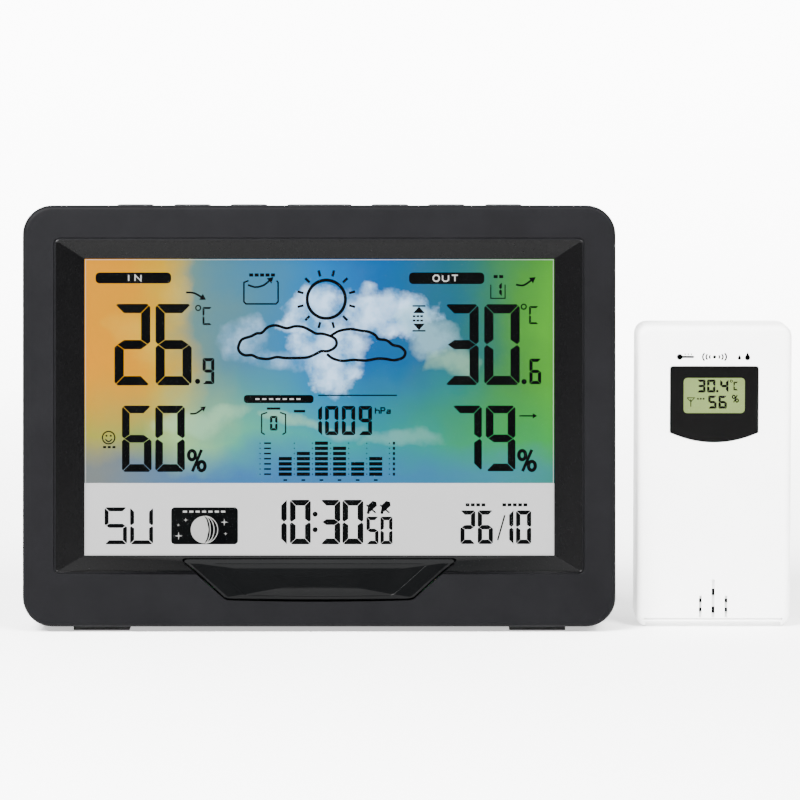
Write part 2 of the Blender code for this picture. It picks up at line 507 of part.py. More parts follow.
# ---------------------------------------------------------------- outdoor sensor: inside
prism("sensor_window", "Y", window_outline(0.2), 0.2, 1.2, SENSOR, BAR)
plate("sensor_lcd", -13.2, 13.2, 2.6, 4.5, 65.75, 84.45, SENSOR, LCD, 0.4, 0.1, 1)
plate("sensor_board", -20.5, 20.5, 5.0, 6.4, 12.4, 90.0, SENSOR, BOARD, 1.0, 0, 1)
loft("sensor_probe", "Z", [(12.0, 0, 5.7, 1.5, 0.6, 0.3), (7.4, 0, 5.7, 1.5, 0.6, 0.3),
                           (5.6, 0, 5.7, 1.3, 1.2, 0.9), (4.4, 0, 5.7, 0.7, 0.7, 0.5)],
     SENSOR, EPOXY, n=2)
coil("sensor_antenna", (17.6, 10.6, 77.0), 2.2, 4.5, 2.4, 0.35, 6.8, SENSOR, COPPER)
for i, s in enumerate((-1, 1)):
    d = s
    z = 47.9
    turned(f"sensor_battery_{i + 1}", "Z", s * 5.7, 14.5, [
        (z - CELL_HALF * d, CELL_R - 0.5), (z - (CELL_HALF - 0.5) * d, CELL_R),
        (z + (CELL_HALF - 0.6) * d, CELL_R), (z + CELL_HALF * d, CELL_R - 0.7), (z + CELL_HALF * d, 1.9),
        (z + (CELL_HALF + 0.9) * d, 1.8)], SENSOR, CELL, n=5)
for place, z0, z1, b0, b1 in (("bottom", 24.3, 24.8, 24.6, 24.95), ("top", 71.2, 71.7, 70.9, 71.4)):
    tab = boxes("sensor_contact_" + place, [(-11.0, 11.0, 10.0, 19.0, z0, z1)], SENSOR)
    tab.data.materials.append(NICKEL)
    join(tab, rods("sensor_bumps_" + place, "Z", [(-5.7, 14.5), (5.7, 14.5)], b0, b1, 2.4, SENSOR, n=3))
lid = plate("sensor_battery_door", -12.8, 12.8, 20.25, 21.95, 22.6, 73.4, SENSOR, WHITE, 1.4, 0.3, 3,
            origin=(0, 20.25, 48.0))
cut(lid, boxes("sensor_door_grip", [(-5.0, 5.0, 21.3, 23.0, z, z + 0.8) for z in (66.0, 67.6, 69.2)], SENSOR))
loft("sensor_channel_switch", "Y", [
    (7.0, 8.0, 13.0, 1.0, 0.8, 0.2), (18.6, 8.0, 13.0, 1.0, 0.8, 0.2), (18.6, 8.0, 13.0, 1.7, 1.1, 0.3),
    (21.3, 8.0, 13.0, 1.7, 1.1, 0.3), (21.6, 8.0, 13.0, 1.4, 0.8, 0.3)], SENSOR, BAR, n=1,
    origin=(8.0, 18.6, 13.0))
turned("sensor_reset_button", "Y", -8.0, 13.0,
       [(7.6, 0.9), (18.4, 0.9), (18.4, 1.5), (21.4, 1.5), (21.7, 1.2)],
       SENSOR, BAR, n=4, origin=(-8.0, 18.4, 13.0))
for i, (x, z) in enumerate(SEN_SCREWS):
    screw(f"sensor_screw_{i + 1}", x, z, 16.8, 2.1, 1.0, 10.5, SENSOR)
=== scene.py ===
"""Looks of the home weather station: materials, display artwork, finer skins, lights and camera.

Lengths are in millimetres in each unit's own frame, as in the CAD: x to the right, y from the front
face towards the back, z up from the bottom edge. CON and SEN place the two units in the row frame.
"""

import math

import bmesh
import bpy
from mathutils import Matrix, Vector


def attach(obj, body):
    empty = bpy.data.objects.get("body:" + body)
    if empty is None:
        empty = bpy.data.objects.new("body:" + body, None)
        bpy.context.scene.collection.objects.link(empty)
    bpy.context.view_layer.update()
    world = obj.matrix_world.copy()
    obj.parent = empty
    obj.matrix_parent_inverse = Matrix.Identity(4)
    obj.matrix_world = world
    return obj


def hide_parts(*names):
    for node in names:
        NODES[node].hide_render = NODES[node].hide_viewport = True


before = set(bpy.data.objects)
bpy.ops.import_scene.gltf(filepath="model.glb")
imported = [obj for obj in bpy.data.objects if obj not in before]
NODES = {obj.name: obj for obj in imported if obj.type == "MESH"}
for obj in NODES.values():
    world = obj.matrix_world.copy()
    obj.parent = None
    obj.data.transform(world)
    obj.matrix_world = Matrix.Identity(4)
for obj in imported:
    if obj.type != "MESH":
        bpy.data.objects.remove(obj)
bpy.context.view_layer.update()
MM = 0.001
GRAIN_HEIGHT = 0.1 * MM
CON = Matrix.Translation((-0.0285, -0.036816, 0.0019)) @ Matrix.Rotation(math.radians(-5.0), 4, "X")
SEN = Matrix.Translation((0.0985, -0.022816, 0.0))


# ---------------------------------------------------------------- materials
class Nodes:
    """A short way to write a material's node tree."""

    def __init__(self, name):
        self.mat = bpy.data.materials.new(name)
        self.mat.use_nodes = True
        self.tree = self.mat.node_tree
        self.bsdf = self.tree.nodes["Principled BSDF"]
        self.point = self.add("ShaderNodeTexCoord").outputs["Object"]

    def add(self, kind, **props):
        node = self.tree.nodes.new(kind)
        for key, value in props.items():
            setattr(node, key, value)
        return node

    def link(self, a, b):
        self.tree.links.new(a, b)

    def feed(self, socket, value):
        if isinstance(value, bpy.types.NodeSocket):
            self.link(value, socket)
        elif value is not None:
            socket.default_value = value

    def math(self, op, a, b=None, c=None):
        node = self.add("ShaderNodeMath", operation=op)
        for socket, value in zip(node.inputs, (a, b, c)):
            self.feed(socket, value)
        return node.outputs[0]

    def noise(self, scale, detail=3.0, rough=0.55, point=None):
        node = self.add("ShaderNodeTexNoise")
        node.inputs["Scale"].default_value = scale
        node.inputs["Detail"].default_value = detail
        node.inputs["Roughness"].default_value = rough
        self.link(point or self.point, node.inputs["Vector"])
        return node.outputs["Fac"]

    def ramp(self, fac, stops):
        node = self.add("ShaderNodeValToRGB")
        ramp = node.color_ramp
        while len(ramp.elements) < len(stops):
            ramp.elements.new(0.5)
        # All places are set before any colour, because a moved element can change its rank.
        for element, (place, _) in zip(ramp.elements, stops):
            element.position = place
        for element, (_, colour) in zip(ramp.elements, stops):
            element.color = (*colour, 1.0) if not isinstance(colour, float) else (colour,) * 3 + (1.0,)
        self.link(fac, node.inputs["Fac"])
        return node.outputs["Color"]

    def mix(self, fac, a, b):
        node = self.add("ShaderNodeMix", data_type="RGBA")
        self.feed(node.inputs[0], fac)
        for socket, value in ((node.inputs[6], a), (node.inputs[7], b)):
            self.feed(socket, (*value, 1.0) if isinstance(value, tuple) else value)
        return node.outputs[2]

    def span(self, value, low, high, to_low=0.0, to_high=1.0):
        node = self.add("ShaderNodeMapRange")
        for socket, number in zip(node.inputs, (value, low, high, to_low, to_high)):
            self.feed(socket, number)
        return node.outputs[0]

    def bump(self, height, strength):
        node = self.add("ShaderNodeBump")
        node.inputs["Strength"].default_value = strength
        node.inputs["Distance"].default_value = GRAIN_HEIGHT
        self.link(height, node.inputs["Height"])
        self.link(node.outputs["Normal"], self.bsdf.inputs["Normal"])


def surface(name, dark, light, rough, grain, depth, metal=0.0, vary=0.06, shine=0.5):
    """Moulded, plated or rubber surface: a faint colour drift, a fine grain and uneven gloss."""
    n = Nodes(name)
    drift = n.noise(60.0, 2.0)
    fine = n.noise(grain, 2.0, 0.6)
    n.link(n.mix(n.span(drift, 0.3, 0.7), dark, light), n.bsdf.inputs["Base Color"])
    n.link(n.span(fine, 0.25, 0.75, rough - vary, rough + vary), n.bsdf.inputs["Roughness"])
    n.bsdf.inputs["Metallic"].default_value = metal
    n.bsdf.inputs["Specular IOR Level"].default_value = shine
    if depth:
        n.bump(fine, depth)
    return n.mat


CASE = surface("case_plastic", (0.0026, 0.0026, 0.0030), (0.0034, 0.0034, 0.0039), 0.50, 2600.0, 0.2,
               shine=0.03)
RECESS = surface("recess_plastic", (0.0006, 0.0006, 0.0007), (0.0009, 0.0009, 0.0010), 0.27, 1400.0, 0.0,
                 vary=0.006, shine=0.072)
KEY = surface("key_plastic", (0.0026, 0.0026, 0.0030), (0.0034, 0.0034, 0.0039), 0.42, 2600.0, 0.15,
              shine=0.04)
GLOSS = surface("gloss_black_plastic", (0.0014, 0.0015, 0.0016), (0.0019, 0.0020, 0.0021), 0.09, 90.0, 0.03,
                vary=0.02, shine=0.05)
PANE = surface("window_black", (0.0010, 0.0010, 0.0010), (0.0014, 0.0014, 0.0014), 0.12, 90.0, 0.0,
               vary=0.02, shine=0.02)
WHITE = surface("white_plastic", (0.80, 0.80, 0.795), (0.84, 0.84, 0.835), 0.42, 2400.0, 0.08)
RUBBER = surface("rubber_grain", (0.008, 0.008, 0.008), (0.014, 0.014, 0.014), 0.82, 1500.0, 0.35)
STEEL = surface("steel_plate", (0.45, 0.45, 0.46), (0.58, 0.58, 0.59), 0.30, 3000.0, 0.1, metal=1.0)
NICKEL = surface("nickel_plate", (0.60, 0.57, 0.50), (0.72, 0.69, 0.62), 0.24, 3000.0, 0.08, metal=1.0)
COPPER = surface("copper_wire", (0.60, 0.27, 0.13), (0.75, 0.38, 0.20), 0.28, 3000.0, 0.1, metal=1.0)
EPOXY = surface("epoxy_black", (0.006, 0.006, 0.006), (0.012, 0.012, 0.013), 0.28, 700.0, 0.2)
GUIDE = surface("diffuser_milk", (0.80, 0.82, 0.84), (0.88, 0.89, 0.90), 0.30, 1200.0, 0.05)
INK = surface("display_ink", (0.0002, 0.0002, 0.0003), (0.0004, 0.0005, 0.0005), 0.8, 900.0, 0.0, shine=0.0)


def glow(n, tone, strength):
    """A display layer that gives most of its light itself and reflects a little: backlit on the console, a
    painted glow on the sensor.
    """
    n.link(n.mix(0.98, tone, (0.0, 0.0, 0.0)), n.bsdf.inputs["Base Color"])
    n.link(tone, n.bsdf.inputs["Emission Color"])
    n.bsdf.inputs["Emission Strength"].default_value = strength
    n.bsdf.inputs["Roughness"].default_value = 0.7
    n.bsdf.inputs["Specular IOR Level"].default_value = 0.0


def lit(name, colour, strength, drift=0.03):
    """A display layer of one colour with a slow drift in it."""
    n = Nodes(name)
    shade = tuple(c * (1.0 - drift) for c in colour)
    glow(n, n.mix(n.span(n.noise(45.0, 2.0), 0.3, 0.7), shade, colour), strength)
    return n.mat


STRIP = lit("display_strip", (0.86, 0.86, 0.86), 1.57)
PALE = lit("display_pale", (0.80, 0.80, 0.78), 1.2)
# The sensor's display has no backlight: this layer's glow is painted light, standing in for the lamps' light
# on it.
OLIVE_PAINTED_GLOW = lit("sensor_glass", (0.63, 0.86, 0.28), 0.85, drift=0.06)


def clear(name, cover):
    """A thin polished clear sheet: it shows what is behind it and adds a faint smoky film."""
    n = Nodes(name)
    n.link(n.mix(n.span(n.noise(60.0), 0.3, 0.7), (0.010, 0.011, 0.012), (0.016, 0.017, 0.018)),
           n.bsdf.inputs["Base Color"])
    n.link(n.span(n.noise(300.0), 0.3, 0.7, 0.02, 0.05), n.bsdf.inputs["Roughness"])
    n.bsdf.inputs["Alpha"].default_value = cover
    return n.mat


CLEAR = clear("clear_acrylic", 0.03)


def zebra():
    """The layered contact strip: fine dark and reddish bands across its length."""
    n = Nodes("layered_elastomer")
    wave = n.add("ShaderNodeTexWave", wave_type="BANDS", bands_direction="X")
    wave.inputs["Scale"].default_value = 900.0
    wave.inputs["Distortion"].default_value = 0.3
    n.link(n.point, wave.inputs["Vector"])
    n.link(n.ramp(wave.outputs["Fac"], ((0.3, (0.02, 0.02, 0.02)), (0.6, (0.60, 0.42, 0.42)))),
           n.bsdf.inputs["Base Color"])
    n.bsdf.inputs["Roughness"].default_value = 0.8
    return n.mat


def board():
    """Green solder mask with paler copper tracks under it and small round vias."""
    n = Nodes("circuit_mask")
    grid = n.add("ShaderNodeTexBrick")
    grid.inputs["Scale"].default_value = 260.0
    grid.inputs["Mortar Size"].default_value = 0.06
    grid.inputs["Color1"].default_value = (0.010, 0.075, 0.024, 1.0)
    grid.inputs["Color2"].default_value = (0.014, 0.095, 0.030, 1.0)
    grid.inputs["Mortar"].default_value = (0.030, 0.160, 0.055, 1.0)
    turn = n.add("ShaderNodeMapping")
    turn.inputs["Rotation"].default_value = (math.radians(90), 0.0, 0.0)
    n.link(n.point, turn.inputs["Vector"])
    n.link(turn.outputs[0], grid.inputs["Vector"])
    vias = n.add("ShaderNodeTexVoronoi")
    vias.inputs["Scale"].default_value = 330.0
    n.link(n.point, vias.inputs["Vector"])
    dots = n.ramp(vias.outputs["Distance"], ((0.10, 1.0), (0.14, 0.0)))
    n.link(n.mix(dots, grid.outputs["Color"], (0.55, 0.48, 0.30)), n.bsdf.inputs["Base Color"])
    n.bsdf.inputs["Roughness"].default_value = 0.35
    n.bump(grid.outputs["Fac"], 0.2)
    return n.mat


def sleeve(name, along):
    """A plain two-tone battery sleeve with a bare steel end."""
    n = Nodes(name)
    wave = n.add("ShaderNodeTexWave", wave_type="BANDS", bands_direction=along)
    wave.inputs["Scale"].default_value = 7.0
    wave.inputs["Distortion"].default_value = 0.0
    n.link(n.point, wave.inputs["Vector"])
    n.link(n.ramp(wave.outputs["Fac"], ((0.46, (0.03, 0.10, 0.30)), (0.5, (0.55, 0.56, 0.58)))),
           n.bsdf.inputs["Base Color"])
    n.link(n.span(n.noise(600.0), 0.3, 0.7, 0.22, 0.34), n.bsdf.inputs["Roughness"])
    n.bsdf.inputs["Metallic"].default_value = 0.35
    return n.mat


SKY_LIGHT = 3.45  # the emission strength of the whole picture
BAND_RANGE = 3.2  # the bands' colours are divided by this, because a ramp stops at one


def sky_picture():
    """The colour film behind the upper display: warm at the left, blue sky with soft clouds in the
    middle, green at the right, cooler towards the bottom."""
    n = Nodes("display_sky")
    place = n.add("ShaderNodeMapping", vector_type="TEXTURE")
    place.inputs["Location"].default_value = CON.to_translation()
    place.inputs["Rotation"].default_value = CON.to_euler()
    n.link(n.point, place.inputs["Vector"])
    point = place.outputs[0]
    warp = n.add("ShaderNodeTexNoise")
    warp.inputs["Scale"].default_value = 38.0
    warp.inputs["Detail"].default_value = 5.0
    n.link(point, warp.inputs["Vector"])
    shift = n.add("ShaderNodeVectorMath", operation="SUBTRACT")
    n.link(warp.outputs["Color"], shift.inputs[0])
    shift.inputs[1].default_value = (0.5, 0.5, 0.5)
    size = n.add("ShaderNodeVectorMath", operation="MULTIPLY_ADD")
    n.link(shift.outputs[0], size.inputs[0])
    size.inputs[1].default_value = (0.030, 0.0, 0.022)
    n.link(point, size.inputs[2])
    parts = n.add("ShaderNodeSeparateXYZ")
    n.link(size.outputs[0], parts.inputs[0])
    x, z = parts.outputs[0], parts.outputs[2]
    t = n.span(x, -0.0754, 0.0754)

    def band(*stops):
        return n.ramp(t, [(spot, tuple(c / BAND_RANGE for c in colour)) for spot, colour in stops])

    top = band((0.0, (1.25, 0.47, 0.0)), (0.09, (1.15, 0.46, 0.0)), (0.15, (0.98, 0.55, 0.02)),
               (0.20, (0.62, 0.50, 0.14)), (0.25, (0.17, 0.35, 0.34)), (0.33, (0.09, 0.31, 0.46)),
               (0.43, (0.036, 0.285, 0.62)), (0.50, (0.008, 0.25, 0.72)), (0.60, (0.016, 0.16, 0.51)),
               (0.70, (0.026, 0.17, 0.40)), (0.77, (0.022, 0.18, 0.27)), (0.86, (0.045, 0.26, 0.13)),
               (0.93, (0.080, 0.38, 0.055)), (1.0, (0.11, 0.55, 0.04)))
    mid = band((0.0, (0.62, 0.55, 0.07)), (0.12, (0.36, 0.53, 0.14)), (0.2, (0.52, 0.90, 0.35)),
               (0.32, (0.12, 0.61, 0.42)), (0.5, (0.035, 0.45, 0.50)), (0.66, (0.02, 0.39, 0.38)),
               (0.78, (0.035, 0.42, 0.22)), (0.9, (0.042, 0.46, 0.12)), (1.0, (0.05, 0.52, 0.08)))
    low = band((0.0, (0.26, 0.30, 0.30)), (0.14, (0.15, 0.28, 0.45)), (0.3, (0.07, 0.26, 0.58)),
               (0.55, (0.052, 0.27, 0.60)), (0.72, (0.052, 0.28, 0.50)), (0.88, (0.060, 0.34, 0.42)),
               (1.0, (0.055, 0.35, 0.29)))
    base = n.mix(n.span(z, 0.060, 0.084), mid, top)
    base = n.mix(n.span(z, 0.060, 0.049), base, low)

    def puff(cx, cz, rx, rz):
        """One at the ellipse's centre, falling to nought at its edge."""
        u = n.math("DIVIDE", n.math("SUBTRACT", x, cx * MM), rx * MM)
        v = n.math("DIVIDE", n.math("SUBTRACT", z, cz * MM), rz * MM)
        d = n.math("MULTIPLY_ADD", u, u, n.math("MULTIPLY", v, v))
        return n.math("SUBTRACT", 1.0, d)

    def cloud(under, colour, share, puffs, soft):
        """Lays a lumpy cloud made of ellipses over the picture under it."""
        field = puff(*puffs[0])
        for spot in puffs[1:]:
            field = n.math("SMOOTH_MAX", field, puff(*spot), 0.2)
        lumps = n.noise(190.0, 7.0, 0.62, point)
        field = n.math("ADD", field, n.math("MULTIPLY", n.math("SUBTRACT", lumps, 0.5), 1.25))
        mask = n.math("MULTIPLY", n.span(field, 0.0, soft), share)
        return n.mix(mask, under, colour)

    shade = n.ramp(n.noise(150.0, 5.0, 0.6, point), ((0.34, (0.045, 0.17, 0.33)), (0.66, (0.40, 0.58, 0.78))))
    base = cloud(base, shade, 0.34, ((-24, 91, 9, 7), (-12, 84, 10, 4)), 1.0)
    base = cloud(base, shade, 0.80,
                 ((20, 101, 18, 9.5), (-4, 101, 12, 8.5), (4, 90, 13, 8), (4, 81, 9, 6)), 0.5)
    base = cloud(base, (0.20, 0.36, 0.40), 0.5, ((35, 92, 8, 8), (30, 99, 8, 6)), 0.8)
    base = cloud(base, (0.20, 0.36, 0.22), 0.42, ((42, 83, 8, 6), (-40, 67, 15, 4.5), (-12, 66, 14, 3)), 0.9)
    base = cloud(base, (0.16, 0.30, 0.28), 0.3, ((27, 61, 15, 3.5), (8, 64, 12, 3)), 0.9)
    base = cloud(base, (0.40, 0.27, 0.03), 0.3, ((-46, 104, 8, 8), (-57, 92, 10, 8)), 1.0)
    glow(n, base, SKY_LIGHT)
    return n.mat


SKY = sky_picture()
BOARD = board()
ZEBRA = zebra()
CELL_X, CELL_Z = sleeve("cell_sleeve_x", "X"), sleeve("cell_sleeve_z", "Z")


# ---------------------------------------------------------------- mesh helpers
def piece(name, verts, faces, mat, body, slot, place=CON, replaces=(), smooth=35.0):
    """A mesh written in millimetres in its unit's frame, riding on a CAD body."""
    mesh = bpy.data.meshes.new(name)
    mesh.from_pydata([place @ (Vector(v) * MM) for v in verts], [], faces)
    shape = bmesh.new()
    shape.from_mesh(mesh)
    bmesh.ops.recalc_face_normals(shape, faces=shape.faces)
    for face in shape.faces:
        face.smooth = smooth > 0
    for edge in shape.edges:
        if len(edge.link_faces) == 2 and edge.calc_face_angle(0.0) > math.radians(smooth):
            edge.smooth = False
    shape.to_mesh(mesh)
    shape.free()
    obj = bpy.data.objects.new(name, mesh)
    bpy.context.scene.collection.objects.link(obj)
    if mat is not None:
        mesh.materials.append(mat)
    if body is not None:
        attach(obj, body)
    if replaces:
        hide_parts(*replaces)
    return obj


def ring(cu, cv, hu, hv, r, n):
    """A rectangle with rounded corners, as n stretches for each corner."""
    r = min(r, hu - 0.02, hv - 0.02)
    points = []
    for su, sv, start in ((1, 1, 0), (-1, 1, 90), (-1, -1, 180), (1, -1, 270)):
        for k in range(n + 1):
            a = math.radians(start + 90.0 * k / n)
            points.append((cu + su * (hu - r) + r * math.cos(a), cv + sv * (hv - r) + r * math.sin(a)))
    return points


def bridge(loops, closed):
    """Joins rings of equal length, end to end or back round to the first."""
    count, size = len(loops), len(loops[0])
    faces = []
    for i in range(count if closed else count - 1):
        a, b = i * size, ((i + 1) % count) * size
        for k in range(size):
            m = (k + 1) % size
            faces.append((a + k, a + m, b + m, b + k))
    if not closed:
        faces.append(tuple(range(size)))
        faces.append(tuple(range((count - 1) * size, count * size)))
    return [p for loop in loops for p in loop], faces


def loft(axis, rows, n, closed=False):
    """A solid along Y or Z through rounded rectangles, each (place, centre, half sizes, radius)."""
    return bridge([[(u, t, v) if axis == "Y" else (u, v, t) for u, v in ring(cu, cv, hu, hv, r, n)]
                   for t, cu, cv, hu, hv, r in rows], closed)


def slab(y0, y1, x, z, half_x, half_z, r, n):
    """A plate from y0 to y1 with rounded corners."""
    return loft("Y", [(y, x, z, half_x, half_z, r) for y in (y0, y1)], n)


def prisms(polygons, y0, y1):
    """Thin flat pieces from outlines in x and z, all in one mesh."""
    verts, faces = [], []
    for points in polygons:
        base = len(verts)
        part, more = bridge([[(x, y, z) for x, z in points] for y in (y0, y1)], False)
        verts += part
        faces += [tuple(base + i for i in face) for face in more]
    return verts, faces


def boolean(obj, cutter, how="DIFFERENCE"):
    """Cuts with a helper mesh, bakes the result into obj and drops the helper."""
    change = obj.modifiers.new("cut", "BOOLEAN")
    change.operation, change.solver, change.object = how, "EXACT", cutter
    bpy.context.view_layer.update()
    graph = bpy.context.evaluated_depsgraph_get()
    mesh = bpy.data.meshes.new_from_object(obj.evaluated_get(graph))
    obj.modifiers.clear()
    obj.data = mesh
    bpy.data.objects.remove(cutter, do_unlink=True)


def helper(verts, faces, place=CON):
    """A solid for boolean() to use up."""
    return piece("cutter", verts, faces, None, None, None, place)


def weigh(obj):
    """Shading normals that follow the large flat faces, so that they read as flat."""
    even = obj.modifiers.new("normals", "WEIGHTED_NORMAL")
    even.weight, even.keep_sharp = 100, True


def soften(obj, width, angle=35.0):
    """Breaks the sharp edges with a small round."""
    bevel = obj.modifiers.new("edges", "BEVEL")
    bevel.width, bevel.segments, bevel.limit_method = width * MM, 2, "ANGLE"
    bevel.angle_limit = math.radians(angle)
    bevel.miter_outer = "MITER_ARC"


def carry(name, mat, width=0.0, angle=32.0):
    """A CAD node that keeps its shape: welded, smooth where it is round, edges broken if asked."""
    obj = NODES[name]
    obj.data.materials.clear()
    obj.data.materials.append(mat)
    for attribute in ("custom_normal", "sharp_edge", "sharp_face"):
        if attribute in obj.data.attributes:
            obj.data.attributes.remove(obj.data.attributes[attribute])
    for polygon in obj.data.polygons:
        polygon.use_smooth = True
    weld = obj.modifiers.new("weld", "WELD")
    weld.merge_threshold = 0.000002
    if width:
        soften(obj, width, angle)
    split = obj.modifiers.new("split", "EDGE_SPLIT")
    split.split_angle = math.radians(angle)
    weigh(obj)


# ---------------------------------------------------------------- flat artwork
# Each of these gives a list of outlines in x and z, which prisms() turns into thin solids.
def disc(x, z, r, n):
    return [[(x + r * math.cos(2 * math.pi * k / n), z + r * math.sin(2 * math.pi * k / n))
             for k in range(n)]]


def block(x0, x1, z0, z1):
    return [[(x0, z0), (x1, z0), (x1, z1), (x0, z1)]]


def stroke(points, width, closed=False):
    """A line of constant width through the points, as one quad for each stretch."""
    count = len(points)
    sides = []
    for i, (x, z) in enumerate(points):
        before = points[(i - 1) % count] if closed or i else points[i]
        after = points[(i + 1) % count] if closed or i < count - 1 else points[i]
        d1, d2 = Vector((x - before[0], z - before[1])), Vector((after[0] - x, after[1] - z))
        d1 = d1.normalized() if d1.length > 1e-9 else d2.normalized()
        d2 = d2.normalized() if d2.length > 1e-9 else d1
        d = (d1 + d2).normalized()
        reach = width / 2 / max(0.5, d.dot(d2))
        sides.append(((x - d.y * reach, z + d.x * reach), (x + d.y * reach, z - d.x * reach)))
    quads = []
    for i in range(count if closed else count - 1):
        a, b = sides[i], sides[(i + 1) % count]
        quads.append([a[0], b[0], b[1], a[1]])
    return quads


def arc(x, z, rx, rz, angles):
    """Points on an ellipse at angles in degrees."""
    return [(x + rx * math.cos(math.radians(a)), z + rz * math.sin(math.radians(a))) for a in angles]


def circle(x, z, r, width, n):
    return stroke(disc(x, z, r, n)[0], width, True)


def flow(points, closed=False, steps=5):
    """A smooth line through the points."""
    count = len(points)
    line = []
    for i in range(count if closed else count - 1):
        p = [Vector(points[j % count] if closed else points[min(max(j, 0), count - 1)])
             for j in (i - 1, i, i + 1, i + 2)]
        for k in range(steps):
            t = k / steps
            q = 0.5 * ((2 * p[1]) + (p[2] - p[0]) * t + (2 * p[0] - 5 * p[1] + 4 * p[2] - p[3]) * t * t
                       + (3 * p[1] - p[0] - 3 * p[2] + p[3]) * t ** 3)
            line.append((q.x, q.y))
    if not closed:
        line.append(tuple(points[-1]))
    return line


def arrow(points, width, head):
    """A smooth line that ends in a triangle."""
    line = flow(points)
    (x0, z0), (x1, z1) = line[-3], line[-1]
    d = Vector((x1 - x0, z1 - z0)).normalized()
    return stroke(line, width) + [[
        (x1 + d.x * head, z1 + d.y * head), (x1 - d.y * head * 0.6, z1 + d.x * head * 0.6),
        (x1 + d.y * head * 0.6, z1 - d.x * head * 0.6)]]


def pill(x0, x1, z0, z1, r):
    """A rounded plate behind a caption."""
    return [ring((x0 + x1) / 2, (z0 + z1) / 2, (x1 - x0) / 2, (z1 - z0) / 2, r, 5)]


SEGMENTS = {"0": "abcdef", "2": "abged", "3": "abgcd", "4": "fgbc", "5": "afgcd", "6": "afgedc",
            "7": "abc", "9": "abfgcd", "U": "bcdef", "S": "afgcd", "C": "adef"}


def digit(char, x, z, w, h, s, g=0.12):
    """Lit segments of one seven-segment character with its lower left corner at x, z."""
    c, m, e = s * 0.3, h / 2, s * 0.28
    bar = [(c + g, h), (w - c - g, h), (w - c / 2 - g, h - c / 2),
           (w - s - g, h - s), (s + g, h - s), (c / 2 + g, h - c / 2)]
    post = [(0, h - c - g), (c / 2, h - c / 2 - g), (s, h - s - g),
            (s, m + s / 2 + g), (e, m + g), (0, m + g + e)]
    mid = [(e + g, m), (s + g, m + s / 2), (w - s - g, m + s / 2),
           (w - e - g, m), (w - s - g, m - s / 2), (s + g, m - s / 2)]
    shapes = {
        "a": bar, "d": [(u, h - v) for u, v in bar], "g": mid, "f": post, "b": [(w - u, v) for u, v in post],
        "e": [(u, h - v) for u, v in post], "c": [(w - u, h - v) for u, v in post]}
    return [[(x + u, z + v) for u, v in shapes[k]] for k in SEGMENTS[char]]


def one(x, z, w, h, g):
    """A narrow figure one that fills its own width."""
    m = h / 2
    top = [(0, h - w), (w, h), (w, m + w * 0.5), (w * 0.5, m + g), (0, m + w * 0.5)]
    return [[(x + u, z + v) for u, v in part] for part in (top, [(u, h - v) for u, v in top])]


def percent(x, z, w, h, t):
    """A per cent sign with two oval rings."""
    r = w * 0.2
    marks = stroke([(x + w * 0.24, z), (x + w * 0.78, z + h)], t)
    for cx, cz in ((x + r + 0.1, z + h - h * 0.25), (x + w - r - 0.1, z + h * 0.25)):
        loop = [(cx + r * math.cos(a * math.pi / 10), cz + h * 0.21 * math.sin(a * math.pi / 10))
                for a in range(20)]
        marks += stroke(loop, t * 1.15, True)
    return marks


def capitals(text, x, z, w, h, step, t):
    """Plain stroked capitals and signs for the generic captions."""
    glyphs = {"I": [[(0.5, 0), (0.5, 1)]], "N": [[(0, 0), (0, 1), (1, 0), (1, 1)]],
              "O": [[(0.25, 0), (0, 0.3), (0, 0.7), (0.25, 1), (0.75, 1), (1, 0.7), (1, 0.3), (0.75, 0),
                     (0.25, 0)]],
              "U": [[(0, 1), (0, 0.25), (0.25, 0), (0.75, 0), (1, 0.25), (1, 1)]],
              "T": [[(0.5, 0), (0.5, 1)], [(0, 1), (1, 1)]],
              "h": [[(0, 0), (0, 1)], [(0, 0.5), (0.5, 0.65), (1, 0.5), (1, 0)]],
              "P": [[(0, 0), (0, 1), (0.8, 1), (1, 0.75), (0.8, 0.5), (0, 0.5)]],
              "a": [[(0.1, 0.6), (0.9, 0.6), (0.9, 0)], [(0.9, 0.35), (0.1, 0.3), (0.1, 0.05), (0.9, 0.05)]]}
    marks = []
    for i, char in enumerate(text):
        for line in glyphs[char]:
            marks += stroke([(x + i * step + u * w, z + v * h) for u, v in line], t)
    return marks


# ---------------------------------------------------------------- console: front bezel
def frame_row(y, inset):
    """The case's outline at depth y, drawn in by inset."""
    return (y, 0.0, 67.5, 95.0 - inset, 67.5 - inset, max(9.5 - inset, 1.0))


def span_row(y, half, z0, z1, r):
    """A rounded opening at depth y, from z0 to z1 and half to each side."""
    return (y, 0.0, (z0 + z1) / 2, half, (z1 - z0) / 2, r)


def recess_row(y, grow, r):
    """One row of the fine groove around the recess's edge, pushed out by grow."""
    return span_row(y, 84.2 + grow, 17.6 - grow, 123.7 + grow, r)


